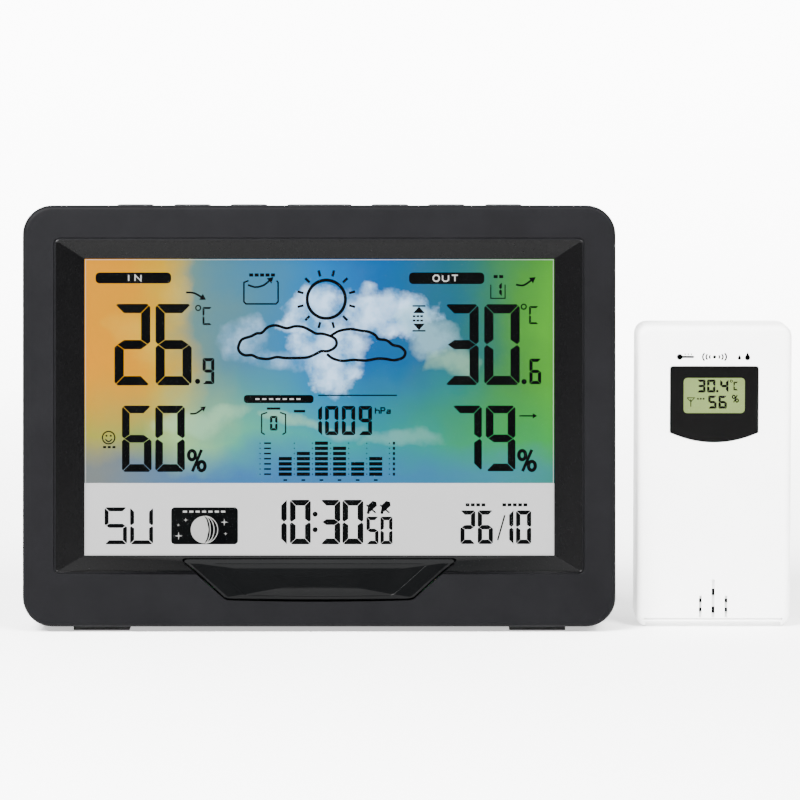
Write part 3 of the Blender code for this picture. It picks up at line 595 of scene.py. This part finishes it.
bezel = piece("bezel_skin", *loft("Y", [
    frame_row(16.0, 0.12), frame_row(15.85, 0.0), frame_row(2.0, 0.0), frame_row(1.3, 0.08),
    frame_row(0.75, 0.28), frame_row(0.35, 0.62), frame_row(0.1, 1.1), frame_row(0.0, 1.7),
    recess_row(0.0, 0.95, 2.2), recess_row(0.06, 0.84, 2.1), recess_row(0.36, 0.72, 2.0),
    recess_row(0.4, 0.55, 1.8), recess_row(0.34, 0.38, 1.6), recess_row(0.1, 0.26, 1.45),
    recess_row(0.05, 0.1, 1.25), recess_row(0.12, -0.1, 0.9),
    span_row(0.6, 83.28, 18.12, 123.12, 0.05), span_row(4.9, 75.55, 22.55, 118.05, 0.04),
    span_row(5.05, 75.4, 22.7, 117.9, 0.04),
    span_row(5.5, 75.4, 22.7, 117.9, 0.04), span_row(5.5, 81.5, 16.7, 123.8, 2.0),
    span_row(2.4, 86.3, 12.3, 128.3, 5.0), frame_row(2.4, 2.2), frame_row(16.0, 2.2)], n=14, closed=True),
    CASE, "console", "case_dark_grey", replaces=("front_bezel",), smooth=24.0)
KEYS = {"key_snooze_mode": (0.0, 21.9),
        "key_r1": (22.65, 12.9), "key_r2": (40.8, 12.9), "key_r3": (59.1, 12.9),
        "key_l1": (-22.65, 12.9), "key_l2": (-40.8, 12.9), "key_l3": (-59.1, 12.9)}
# Each key is (x, width), and each gets an opening in the top edge.
for x, w in KEYS.values():
    boolean(bezel, helper(*loft("Z", [(t, x, 9.5, w / 2 + 0.35, 3.35, 0.9) for t in (131.0, 138.0)], n=4)))


def trapezoid(grow):
    """The snooze bar's outline with rounded lower corners and a slightly bowed lower edge."""
    steps = 10
    slope = (44.4 - 29.9) / (21.6 - 8.8)
    side = grow * math.sqrt(1 + slope * slope)
    top, low = 44.4 + side + slope * grow, 29.9 + side - slope * grow
    half = [(low * k / steps, 8.8 - 0.5 * (1 - (k / steps) ** 2) - grow) for k in range(1, steps)]
    half += [(low - 1.0, 8.76 - grow), (low - 0.1, 8.95 - grow), (low + 0.6, 9.4 - grow),
             (top - 1.35, 20.5 + grow), (top - 1.2, 20.9 + grow), (top - 1.4, 21.35 + grow),
             (top - 2.2, 21.6 + grow)]
    return [(-x, z) for x, z in reversed(half)] + [(0.0, 8.3 - grow)] + half


boolean(bezel, helper(*prisms([trapezoid(0.3)], -5.0, 9.0)))
for x, z in ((-84.5, 12.0), (84.5, 12.0), (-84.5, 123.0), (84.5, 123.0)):
    boolean(bezel, helper(*slab(1.9, 15.9, x, z, 3.0, 3.0, 2.98, 5)), "UNION")
    boolean(bezel, helper(*slab(6.5, 17.0, x, z, 1.5, 1.5, 1.48, 4)))
# The faces inside the recess take its glossier plastic.
bezel.data.materials.append(RECESS)
flat = CON.inverted()
for face in bezel.data.polygons:
    x, y, z = flat @ face.center / MM
    if abs(x) < 84.3 and 17.5 < z < 123.8 and (flat.to_3x3() @ face.normal).y < -0.1 and y < 5.4:
        face.material_index = 1

# ---------------------------------------------------------------- console: keys and snooze bar
for name, (x, w) in KEYS.items():
    h = w / 2
    piece(name + "_cap", *loft("Z", [
        (135.6, x, 9.5, h - 1.5, 2.1, 0.5), (135.57, x, 9.5, h - 1.15, 2.4, 0.6),
        (135.42, x, 9.5, h - 0.75, 2.75, 0.7), (135.1, x, 9.5, h - 0.25, 2.93, 0.75),
        (134.8, x, 9.5, h, 3.0, 0.75), (132.3, x, 9.5, h, 3.0, 0.75),
        (132.3, x, 9.5, h + 0.9, 3.9, 0.6), (131.3, x, 9.5, h + 0.9, 3.9, 0.6),
        (131.3, x, 9.5, 1.6, 1.6, 0.6), (131.0, x, 9.5, 1.6, 1.6, 0.6)], n=5),
        KEY, name, "key_dark_grey", replaces=(name,))


def bar_front(z):
    """Depth of the snooze bar's polished face: a pillow that rises from the recess slope."""
    profile = [(8.3, 0.75), (8.9, 0.15), (9.8, -0.22), (11.2, -0.42), (13.0, -0.47), (14.8, -0.4),
               (16.7, -0.08), (18.5, 0.58), (20.1, 1.55), (21.6, 2.8)]
    z = min(max(z, profile[0][0]), profile[-1][0])
    for (z0, y0), (z1, y1) in zip(profile, profile[1:]):
        if z <= z1:
            return y0 + (y1 - y0) * (z - z0) / (z1 - z0)
    return profile[-1][1]


def bar_skin():
    """Rings from the middle of the bar out to its edge, following the pillow and rounding over."""
    centre = (0.0, 15.0)
    outline = trapezoid(0.0)
    loops = []
    for share, sink in ((0.12, 0.2), (0.3, 0.2), (0.5, 0.2), (0.66, 0.2), (0.775, 0.2), (0.79, 0.02),
                        (0.8, 0.0), (0.9, 0.03), (0.955, 0.1), (0.978, 0.24), (0.992, 0.48), (1.0, 0.95)):
        loop = []
        for x, z in outline:
            u, v = centre[0] + (x - centre[0]) * share, centre[1] + (z - centre[1]) * share
            edge = 0.15 if z > 20.4 and share > 0.95 else 1.0
            loop.append((u, bar_front(v) + sink * edge, v))
        loops.append(loop)
    loops.append([(x, 4.4, z) for x, z in outline])
    return bridge(loops, False)


bar = piece("snooze_bar_skin", *bar_skin(), GLOSS, "snooze_bar", "gloss_black", replaces=("snooze_bar",),
            smooth=30.0)
piece("snooze_bar_flange", *slab(2.85, 4.2, 0, 9.8, 31.8, 4.2, 0.5, 3), GLOSS, "snooze_bar", "gloss_black")

# ---------------------------------------------------------------- console: display
piece("display_lens", *loft("Y", [(5.8, 0, 70.3, 79.3, 51.4, 1.0), (5.95, 0, 70.3, 79.5, 51.6, 1.1),
                                  (7.05, 0, 70.3, 79.5, 51.6, 1.1), (7.2, 0, 70.3, 79.3, 51.4, 1.0)], n=5),
      CLEAR, "console", "clear_window", replaces=("display_window",), smooth=0.0)
JOIN, TOP, FOOT, HALF = 45.9, 118.3, 22.4, 75.8  # heights and half width of the picture and the strip
piece("lcd_back", *slab(7.6, 9.5, 0, 70.3, 79.0, 51.1, 0.5, 2), INK, "console", "display_panel",
      replaces=("lcd_panel",))
piece("lcd_sky", *slab(7.5, 7.58, 0, (JOIN + TOP) / 2, HALF, (TOP - JOIN) / 2, 0.2, 2),
      SKY, "console", "display_panel")
piece("lcd_strip", *slab(7.5, 7.58, 0, (JOIN + FOOT) / 2, HALF, (JOIN - FOOT) / 2 - 0.02, 0.2, 2),
      STRIP, "console", "display_panel")

# The marks lie in front of the picture in two thin sheets, dark ink and pale lettering.
ink, pale = [], []
# indoor block
ink += pill(-72.0, -47.7, 110.1, 113.6, 1.3)
pale += capitals("IN", -62.3, 110.9, 1.9, 1.9, 3.0, 0.42)
ink += arrow([(-42.9, 107.2), (-40.4, 107.0), (-38.1, 105.8)], 0.6, 1.9)
ink += digit("2", -65.9, 77.3, 11.5, 26.2, 2.95) + digit("6", -52.7, 77.3, 11.6, 26.2, 2.95)
ink += circle(-39.0, 102.2, 0.8, 0.42, 16) + digit("C", -37.6, 96.7, 3.0, 5.8, 0.62, 0.06)
ink += disc(-39.2, 78.6, 0.85, 16) + digit("9", -37.6, 77.7, 3.8, 8.4, 1.05, 0.06)
ink += digit("6", -63.5, 49.5, 9.5, 21.3, 2.45) + digit("0", -52.8, 49.5, 9.5, 21.3, 2.45)
ink += percent(-42.2, 49.6, 5.5, 7.0, 0.95) + arrow([(-41.6, 68.2), (-39.8, 68.3), (-37.8, 69.6)], 0.55, 1.6)
ink += circle(-67.8, 60.5, 2.0, 0.42, 28) + disc(-68.5, 61.1, 0.34, 8) + disc(-67.1, 61.1, 0.34, 8)
ink += stroke(flow([(-68.9, 60.0), (-67.8, 59.2), (-66.7, 60.0)]), 0.42)
ink += [q for x in (-69.6, -68.1, -66.6) for q in block(x, x + 1.0, 57.1, 57.8)]
# forecast block
ink += [q for k in range(5) for q in block(-22.6 + 1.75 * k, -21.3 + 1.75 * k, 112.3, 113.3)]
ink += stroke([(-22.8, 111.0), (-24.3, 110.4), (-24.3, 104.2), (-23.6, 103.5), (-14.0, 103.5), (-13.3, 104.2),
               (-13.3, 110.4), (-13.8, 111.0)], 0.5)
ink += arrow([(-23.0, 109.6), (-20.5, 108.9), (-18.0, 109.5), (-16.2, 110.9)], 0.6, 1.9)
ink += circle(2.2, 105.0, 6.15, 1.0, 64)
for k in range(12):
    a = math.radians(15 + 30 * k)
    ink += stroke([(2.2 + r * math.cos(a), 105.0 + r * math.sin(a)) for r in (7.6, 9.6)], 0.78)
left_cloud = [(-26.1, 89.6), (-25.0, 92.0), (-22.0, 93.1), (-20.2, 94.0), (-18.6, 94.2), (-16.6, 96.0),
              (-14.0, 96.6), (-10.6, 95.7), (-8.0, 96.3), (-5.4, 96.1), (-3.0, 95.0), (-1.2, 94.0),
              (1.0, 93.9), (3.4, 93.2), (5.1, 92.2), (5.5, 90.6), (4.6, 89.2), (2.6, 88.3), (0.6, 88.3),
              (-1.6, 87.2), (-4.0, 86.3), (-7.5, 86.1), (-11.0, 86.1), (-13.8, 86.4), (-16.5, 85.8),
              (-19.6, 86.1), (-21.7, 87.0), (-24.0, 87.0), (-25.6, 88.0)]
right_cloud = [(3.6, 93.2), (6.3, 94.8), (10.0, 95.4), (13.4, 94.9), (16.0, 94.5), (18.0, 93.4),
               (19.0, 92.2), (21.6, 91.8), (23.6, 90.3), (26.0, 89.7), (27.6, 88.0), (26.8, 86.2),
               (24.0, 85.4), (21.4, 85.8), (18.6, 85.9), (15.0, 85.3), (11.0, 85.5), (7.2, 85.2),
               (4.2, 86.0), (2.4, 87.4)]
ink += stroke(flow(left_cloud, True, 4), 0.9, True) + stroke(flow(right_cloud, False, 4), 0.9)
for side in (1, -1):
    ink += [[(30.1, 98.85 + side * 1.7), (33.9, 98.85 + side * 1.7), (32.0, 98.85 + side * 3.8)]]
    ink += block(29.9, 34.1, 98.85 + side * 4.0 - 0.24, 98.85 + side * 4.0 + 0.24)
    ink += [q for x in (30.0, 31.2, 32.4)
            for q in block(x, x + 0.9, 98.85 + side * 0.7 - 0.3, 98.85 + side * 0.7 + 0.3)]
# outdoor block
ink += pill(28.8, 53.0, 109.9, 113.6, 1.3)
pale += capitals("OUT", 36.6, 110.8, 1.9, 1.9, 3.0, 0.42)
ink += block(56.0, 57.3, 111.8, 112.8) + block(57.8, 59.1, 111.8, 112.8)
ink += stroke([(55.1, 109.7), (55.1, 105.3), (59.7, 105.3), (59.7, 109.7)], 0.36)
ink += one(57.8, 106.0, 0.85, 4.4, 0.08) + arrow([(63.2, 109.7), (65.6, 109.5), (68.0, 111.0)], 0.6, 1.9)
ink += digit("3", 40.3, 77.4, 10.9, 26.0, 2.95) + digit("0", 53.0, 77.4, 11.4, 26.0, 2.95)
ink += circle(65.7, 102.6, 0.8, 0.42, 16) + digit("C", 67.4, 97.0, 3.0, 5.8, 0.62, 0.06)
ink += disc(65.8, 78.5, 0.85, 16) + digit("6", 67.5, 77.7, 3.8, 8.2, 1.05, 0.06)
ink += digit("7", 42.7, 49.7, 9.5, 21.1, 2.45) + digit("9", 53.5, 49.7, 9.5, 21.1, 2.45)
ink += arrow([(64.3, 67.5), (66.5, 67.5), (68.6, 67.5)], 0.45, 1.4) + percent(64.0, 49.7, 5.5, 6.9, 0.95)
# barometer block
ink += pill(-24.3, -1.9, 71.6, 74.2, 1.0) + block(-0.4, 24.9, 73.9, 74.3)
pale += [q for k in range(7) for q in block(-20.6 + 2.2 * k, -19.3 + 2.2 * k, 72.65, 73.15)]
ink += stroke([(-16.8, 68.6), (-18.6, 68.0), (-18.6, 62.1), (-17.6, 61.5)], 0.42)
ink += stroke([(-12.7, 68.6), (-10.9, 68.0), (-10.9, 62.1), (-11.9, 61.5)], 0.42)
ink += digit("0", -15.9, 62.8, 2.4, 4.7, 0.75, 0.05) + block(-16.9, -12.6, 69.5, 70.2)
ink += block(-8.2, -4.6, 68.6, 69.4)
ink += one(-0.4, 61.3, 1.25, 9.4, 0.08) + digit("0", 1.8, 61.3, 4.3, 9.4, 1.25, 0.05)
ink += digit("0", 7.2, 61.3, 4.3, 9.4, 1.25, 0.05)
ink += digit("9", 12.6, 61.3, 4.3, 9.4, 1.25, 0.05) + capitals("hPa", 18.0, 68.2, 1.25, 1.9, 1.8, 0.42)
heights = (4, 5, 7, 6, 3, 4)
for column, count in enumerate(heights):
    x = -11.0 + 5.82 * column
    for k in range(count):
        ink += block(x - 2.1, x + 2.1, 48.2 + 1.66 * k, 49.3 + 1.66 * k)
    if column:
        for k in range(7):
            ink += disc(x - 2.9, 48.75 + 1.66 * k, 0.2, 8)
    ink += block(x - 0.6, x + 0.6, 46.6, 47.1)
for k in range(7):
    ink += disc(-19.1, 48.75 + 1.66 * k, 0.2, 8) + block(-17.8, -15.6, 48.5 + 1.66 * k, 49.0 + 1.66 * k)
    ink += disc(22.5, 48.75 + 1.66 * k, 0.2, 8) + block(23.6, 24.3, 48.3 + 1.66 * k, 49.2 + 1.66 * k)
# calendar strip
ink += digit("S", -69.1, 26.2, 7.2, 11.9, 1.3, 0.14) + digit("U", -60.9, 26.2, 7.4, 11.9, 1.3, 0.14)
ink += pill(-47.7, -26.2, 26.2, 38.1, 1.2)
pale += [q for k in range(7) for q in block(-43.9 + 2.05 * k, -42.6 + 2.05 * k, 36.4, 37.0)]
pale += [arc(-37.0, 30.9, 4.4, 4.4, range(90, 271, 10)) + [(-36.2, 28.0), (-35.6, 30.9), (-36.2, 33.8)]]
for bend in (1.9, 3.1, 4.3):
    pale += stroke(arc(-37.0, 30.9, bend, 4.4, range(-84, 85, 12)), 0.24)
for x, z, r in ((-45.3, 28.9, 1.3), (-45.4, 32.4, 0.5), (-43.0, 34.0, 0.7), (-30.6, 33.3, 1.2),
                (-30.2, 29.6, 0.6)):
    pale += [[(x - r, z), (x - r * 0.14, z + r * 0.14), (x, z + r), (x + r * 0.14, z + r * 0.14), (x + r, z),
              (x + r * 0.14, z - r * 0.14), (x, z - r), (x - r * 0.14, z - r * 0.14)]]
ink += one(-12.3, 26.2, 1.8, 14.3, 0.1) + digit("0", -9.5, 26.2, 6.7, 14.3, 1.85, 0.08)
ink += disc(-1.4, 35.9, 0.85, 16) + disc(-1.4, 30.9, 0.85, 16)
ink += digit("3", 0.3, 26.2, 6.4, 14.3, 1.85, 0.08) + digit("0", 7.4, 26.2, 6.7, 14.3, 1.85, 0.08)
for x in (15.2, 19.6):
    ink += [[(x + 0.1, 36.6), (x + 1.2, 36.7), (x + 3.3, 38.6),
             (x + 3.1, 39.8), (x + 1.9, 40.2), (x + 0.5, 38.9)]]
    ink += stroke([(x - 0.1, 38.9), (x + 2.9, 36.3)], 0.5) + disc(x + 0.5, 36.4, 0.5, 10)
ink += digit("5", 15.1, 26.2, 3.9, 8.9, 1.15, 0.05) + digit("0", 19.6, 26.2, 3.9, 8.9, 1.15, 0.05)
ink += digit("2", 45.3, 26.3, 4.8, 10.8, 1.4, 0.06) + digit("6", 50.9, 26.3, 4.9, 10.8, 1.4, 0.06)
ink += stroke([(57.3, 27.5), (59.6, 35.6)], 0.5) + one(61.0, 26.3, 1.4, 10.8, 0.08)
ink += digit("0", 63.2, 26.3, 4.9, 10.8, 1.4, 0.06)
ink += [q for x in (47.0, 48.7, 50.4, 52.1) for q in block(x, x + 1.25, 38.4, 39.4)]
ink += [q for x in (58.8, 60.5, 62.2, 63.9, 65.6) for q in block(x, x + 1.25, 38.4, 39.4)]
pale += stroke([(-75.2, 22.9), (75.2, 22.9), (75.2, 117.7), (-75.2, 117.7)], 0.15, True)
piece("display_marks", *prisms(ink, 7.38, 7.44), INK, "console", "display_panel", smooth=0)
piece("display_pale_marks", *prisms(pale, 7.30, 7.36), PALE, "console", "display_panel", smooth=0)

# ---------------------------------------------------------------- outdoor sensor
WINDOW_RISE = 1.25  # the window, its glass and its signs stand this much above the heights written here
PANEL = SEN @ Matrix.Translation((0.0, 0.0, WINDOW_RISE * MM))


def sen_row(y, inset):
    """The sensor's outline at depth y, drawn in by inset."""
    return (y, 0.0, 48.9, 25.0 - inset, 48.9 - inset, max(4.0 - inset * 0.8, 1.0))


shell = piece("sensor_front_skin", *loft("Y", [
    sen_row(2.2, 3.0), sen_row(2.8, 1.9), sen_row(13.5, 1.9), sen_row(13.5, 0.1), sen_row(13.4, 0.0),
    sen_row(2.6, 0.0), sen_row(1.7, 0.1), sen_row(1.0, 0.38), sen_row(0.5, 0.8), sen_row(0.18, 1.35),
    sen_row(0.03, 1.95), sen_row(0.0, 2.6)],
    n=12), WHITE, "outdoor_sensor", "sensor_white", SEN, ("sensor_front_cover",), 24.0)


def window_outline(shrink):
    """The sensor's window: a bowed lower edge and two rounded upper corners."""
    half, top = 14.35 - shrink, 83.3 - shrink
    points = [(-half + 2 * half * k / 24, 61.7 - (3.2 - shrink) * (1 - (2 * k / 24 - 1) ** 2))
              for k in range(25)]
    corner = arc(half - 0.9, top - 0.9, 0.9, 0.9, (0, 22, 45, 68, 90))
    return points + corner + [(-x, z) for x, z in reversed(corner)]


def rects(spans, y0, y1):
    """Boxes from y0 to y1, each (x0, x1, z0, z1)."""
    return prisms([[(x0, z0), (x1, z0), (x1, z1), (x0, z1)] for x0, x1, z0, z1 in spans], y0, y1)


boolean(shell, helper(*prisms([window_outline(0.0)], -2.0, 1.5), PANEL))
boolean(shell, helper(*slab(1.0, 5.0, 0, 73.8, 10.9, 6.6, 1.0, 4), PANEL))
# A shallow groove for each column of vents, and the vents through it.
grooves = [(-0.5, 0.5, 3.1, 15.4)] + [(s * 4.15 - 0.45, s * 4.15 + 0.45, 3.1, 10.2) for s in (-1, 1)]
boolean(shell, helper(*rects(grooves, -2.0, 1.2), SEN))
vents = [(-0.5, 0.5, z, z + 2.2) for z in (10.1, 4.3)]
vents += [(s * 4.15 - 0.56, s * 4.15 + 0.56, z, z + 1.3) for s in (-1, 1) for z in (7.8, 4.8)]
boolean(shell, helper(*rects(vents, 0.2, 4.0), SEN))
# A near-black sheet behind the vents: painted shade, so that the openings read dark.
piece("sensor_vent_shade_sheet", *rects([(-5.2, 5.2, 3.6, 13.0)], 2.25, 2.4), INK, "outdoor_sensor",
      "black_epoxy", SEN, smooth=0)
# The line above the foot, and the foot's step back.
boolean(shell, helper(*rects([(-22.4, 22.4, 2.4, 2.8)], -1.0, 0.6), SEN))
boolean(shell, helper(*rects([(-21.8, 21.8, -0.5, 1.5)], -1.0, 1.7), SEN))
for x in (-19.2, 19.2):
    boolean(shell, helper(*slab(1.6, 13.3, x, 6.8, 3.0, 3.0, 2.98, 4), SEN), "UNION")
    boolean(shell, helper(*slab(5.0, 15.0, x, 6.8, 1.35, 1.35, 1.33, 4), SEN))

pane = piece("sensor_window_frame", *prisms([window_outline(0.2)], 0.2, 1.2), PANE, "outdoor_sensor",
             "gloss_black", PANEL, ("sensor_window",))
boolean(pane, helper(*slab(-1.0, 2.0, 0, 73.7, 9.85, 5.7, 1.2, 6), PANEL))
soften(pane, 0.12)
piece("sensor_window_pane", *slab(0.4, 1.1, 0, 73.7, 9.75, 5.6, 1.1, 6), CLEAR, "outdoor_sensor",
      "clear_window", PANEL, smooth=0.0)
# The sensor's display layer carries a painted glow, as it has no backlight.
piece("sensor_glass", *loft("Y", [(2.6, 0, 73.85, 13.1, 9.25, 0.4), (2.7, 0, 73.85, 13.2, 9.35, 0.4),
                                  (4.4, 0, 73.85, 13.2, 9.35, 0.4), (4.5, 0, 73.85, 13.1, 9.25, 0.4)], n=3),
      OLIVE_PAINTED_GLOW, "outdoor_sensor", "display_panel", PANEL, ("sensor_lcd",))
marks = (digit("3", -5.4, 74.5, 2.7, 4.2, 0.8, 0.03) + digit("0", -2.2, 74.5, 2.7, 4.2, 0.8, 0.03)
         + disc(1.1, 74.95, 0.42, 10))
marks += digit("4", 2.0, 74.5, 2.7, 4.2, 0.8, 0.03) + circle(5.6, 78.2, 0.36, 0.26, 10)
marks += digit("C", 6.3, 75.2, 1.5, 2.8, 0.46, 0.02)
marks += digit("5", -1.8, 69.3, 2.7, 4.2, 0.8, 0.03) + digit("6", 1.5, 69.3, 2.7, 4.2, 0.8, 0.03)
marks += percent(5.9, 71.3, 2.1, 2.4, 0.34)
marks += stroke([(-7.4, 69.9), (-7.4, 72.4)], 0.3)
marks += stroke([(-8.6, 72.8), (-7.4, 71.5), (-6.2, 72.8), (-8.6, 72.8)], 0.28)
for x in (-5.4, -4.5, -3.6):
    marks += block(x, x + 0.6, 72.2, 72.75)
piece("sensor_marks", *prisms(marks, 2.48, 2.54), INK, "outdoor_sensor", "display_panel", PANEL, smooth=0)
label = (disc(0.0, 86.2, 0.55, 14) + disc(-11.2, 86.2, 0.95, 20) + block(-11.2, -6.9, 85.85, 86.55)
         + disc(-6.9, 86.2, 0.35, 12))
label += [q for x in (-9.6, -8.6, -7.6) for q in block(x, x + 0.3, 86.8, 87.3)]
label += disc(10.6, 85.95, 0.85, 24) + [[(9.8, 86.25), (11.4, 86.25), (10.6, 87.75)]]
label += disc(8.0, 85.8, 0.55, 20) + [[(7.48, 86.0), (8.52, 86.0), (8.0, 86.95)]]
for r in (1.6, 2.7, 3.8):
    for start in (-32, 148):
        label += stroke(arc(0.0, 86.2, r, r * 0.6, range(start, start + 65, 8)), 0.5)
piece("sensor_symbol", *prisms(label, -0.03, 0.06), INK, "outdoor_sensor", "sensor_white", PANEL, smooth=0)

# ---------------------------------------------------------------- carried-over CAD nodes
carry("rear_cover", CASE)
carry("sensor_rear_cover", WHITE)
carry("sensor_battery_door", WHITE, 0.15)
for name in ("battery_door", "stand_leg"):
    carry(name, CASE, 0.18)
for name in ("backlight_guide", "indoor_sensor"):
    carry(name, GUIDE, 0.2)
for name in ("main_board", "button_board", "snooze_board", "sensor_board"):
    carry(name, BOARD)
for name in ("processor", "piezo_buzzer", "dc_jack", "sensor_probe"):
    carry(name, EPOXY, angle=40.0)
for name in ("contact_left", "contact_right", "sensor_contact_bottom", "sensor_contact_top"):
    carry(name, NICKEL)
for name in ("antenna_coil", "sensor_antenna"):
    carry(name, COPPER, angle=75.0)
for name in ("foot_left", "foot_right", "stand_pad"):
    carry(name, RUBBER)
for name in ("stand_pin", "case_screw_1", "case_screw_2", "case_screw_3", "case_screw_4", "sensor_screw_1",
             "sensor_screw_2"):
    carry(name, STEEL, angle=40.0)
for name in ("battery_1", "battery_2", "battery_3"):
    carry(name, CELL_X, angle=40.0)
for name in ("sensor_battery_1", "sensor_battery_2"):
    carry(name, CELL_Z, angle=40.0)
for name in ("sensor_channel_switch", "sensor_reset_button"):
    carry(name, KEY, angle=40.0)
carry("zebra_strip", ZEBRA)

for obj in (bezel, shell, pane, bar):
    weigh(obj)


# ---------------------------------------------------------------- studio
def studio():
    """White paper that curves up behind the object. It gives light of its own, most of it low and far
    behind, where the camera looks."""
    n = Nodes("studio_paper")
    tone = n.mix(n.span(n.noise(3.0), 0.3, 0.7), (0.86, 0.86, 0.86), (0.88, 0.88, 0.88))
    n.link(tone, n.bsdf.inputs["Base Color"])
    n.bsdf.inputs["Roughness"].default_value = 0.9
    n.bsdf.inputs["Specular IOR Level"].default_value = 0.1
    n.bsdf.inputs["Emission Color"].default_value = (1.0, 1.0, 1.0, 1.0)
    parts = n.add("ShaderNodeSeparateXYZ")
    n.link(n.point, parts.inputs[0])
    behind = n.math("MULTIPLY", n.span(parts.outputs[1], 0.1, 1.4), n.span(parts.outputs[2], 0.42, 0.28))
    n.link(n.span(behind, 0.0, 1.0, 0.8, 9.0), n.bsdf.inputs["Emission Strength"])
    bend = 0.9
    profile = [(-2.2, 0.0), (bend, 0.0)]
    profile += [(bend + bend * math.sin(math.radians(a)), bend - bend * math.cos(math.radians(a)))
                for a in range(10, 91, 10)]
    profile += [(1.8, 3.0)]
    verts, faces = [], []
    for y, z in profile:
        verts += [(-3.0, y, z), (3.0, y, z)]
    for k in range(len(profile) - 1):
        faces.append((2 * k, 2 * k + 1, 2 * k + 3, 2 * k + 2))
    mesh = bpy.data.meshes.new("floor")
    mesh.from_pydata(verts, [], faces)
    for face in mesh.polygons:
        face.use_smooth = True
    mesh.materials.append(n.mat)
    floor = bpy.data.objects.new("floor", mesh)
    bpy.context.scene.collection.objects.link(floor)


def surroundings():
    """Faint even light from all round, much brighter from the far left and right, as from side panels."""
    world = bpy.data.worlds.new("studio_air")
    world.use_nodes = True
    air = world.node_tree
    across = air.nodes.new("ShaderNodeSeparateXYZ")
    air.links.new(air.nodes.new("ShaderNodeTexCoord").outputs["Generated"], across.inputs[0])
    width = air.nodes.new("ShaderNodeMath")
    width.operation = "ABSOLUTE"
    air.links.new(across.outputs[0], width.inputs[0])
    sides = air.nodes.new("ShaderNodeMapRange")
    # Strength 0.12 up to 0.90 of the way sideways, then rising to 1.7 at 0.975.
    for socket, value in zip(sides.inputs[1:5], (0.90, 0.975, 0.12, 1.7)):
        socket.default_value = value
    air.links.new(width.outputs[0], sides.inputs[0])
    air.nodes["Background"].inputs[0].default_value = (1.0, 1.0, 1.0, 1.0)
    air.links.new(sides.outputs[0], air.nodes["Background"].inputs[1])
    bpy.context.scene.world = world


def lamp(name, place, target, size, power):
    """A rectangular lamp aimed at target, in metres and watts."""
    data = bpy.data.lights.new(name, "AREA")
    data.shape, data.size, data.size_y = "RECTANGLE", size[0], size[1]
    data.energy = power
    obj = bpy.data.objects.new(name, data)
    obj.location = place
    obj.rotation_euler = (Vector(target) - Vector(place)).to_track_quat("-Z", "Y").to_euler()
    bpy.context.scene.collection.objects.link(obj)


studio()
surroundings()
lamp("key", (-0.48, -0.68, 0.70), (0.0, 0.0, 0.06), (0.45, 0.35), 62.0)
lamp("fill", (0.85, -1.17, 1.1), (0.05, 0.0, 0.05), (0.8, 0.6), 85.0)
lamp("overhead", (0.0, -0.35, 1.3), (0.0, 0.0, 0.0), (1.3, 0.9), 26.0)

# ---------------------------------------------------------------- camera
DISTANCE, VIEW_WIDTH, SENSOR = 1.5, 0.256, 36.0  # metres, metres at the target, millimetres
target = CON @ Vector((0.0259, 0.0, 0.0726))
up = math.radians(5.0)
eye = target + DISTANCE * Vector((0.0, -math.cos(up), math.sin(up)))
lens = bpy.data.cameras.new("camera")
lens.sensor_width = SENSOR
lens.lens = SENSOR * DISTANCE / VIEW_WIDTH
camera = bpy.data.objects.new("camera", lens)
camera.location = eye
camera.rotation_euler = (target - eye).to_track_quat("-Z", "Y").to_euler()
bpy.context.scene.collection.objects.link(camera)
bpy.context.scene.camera = camera

bpy.context.view_layer.update()
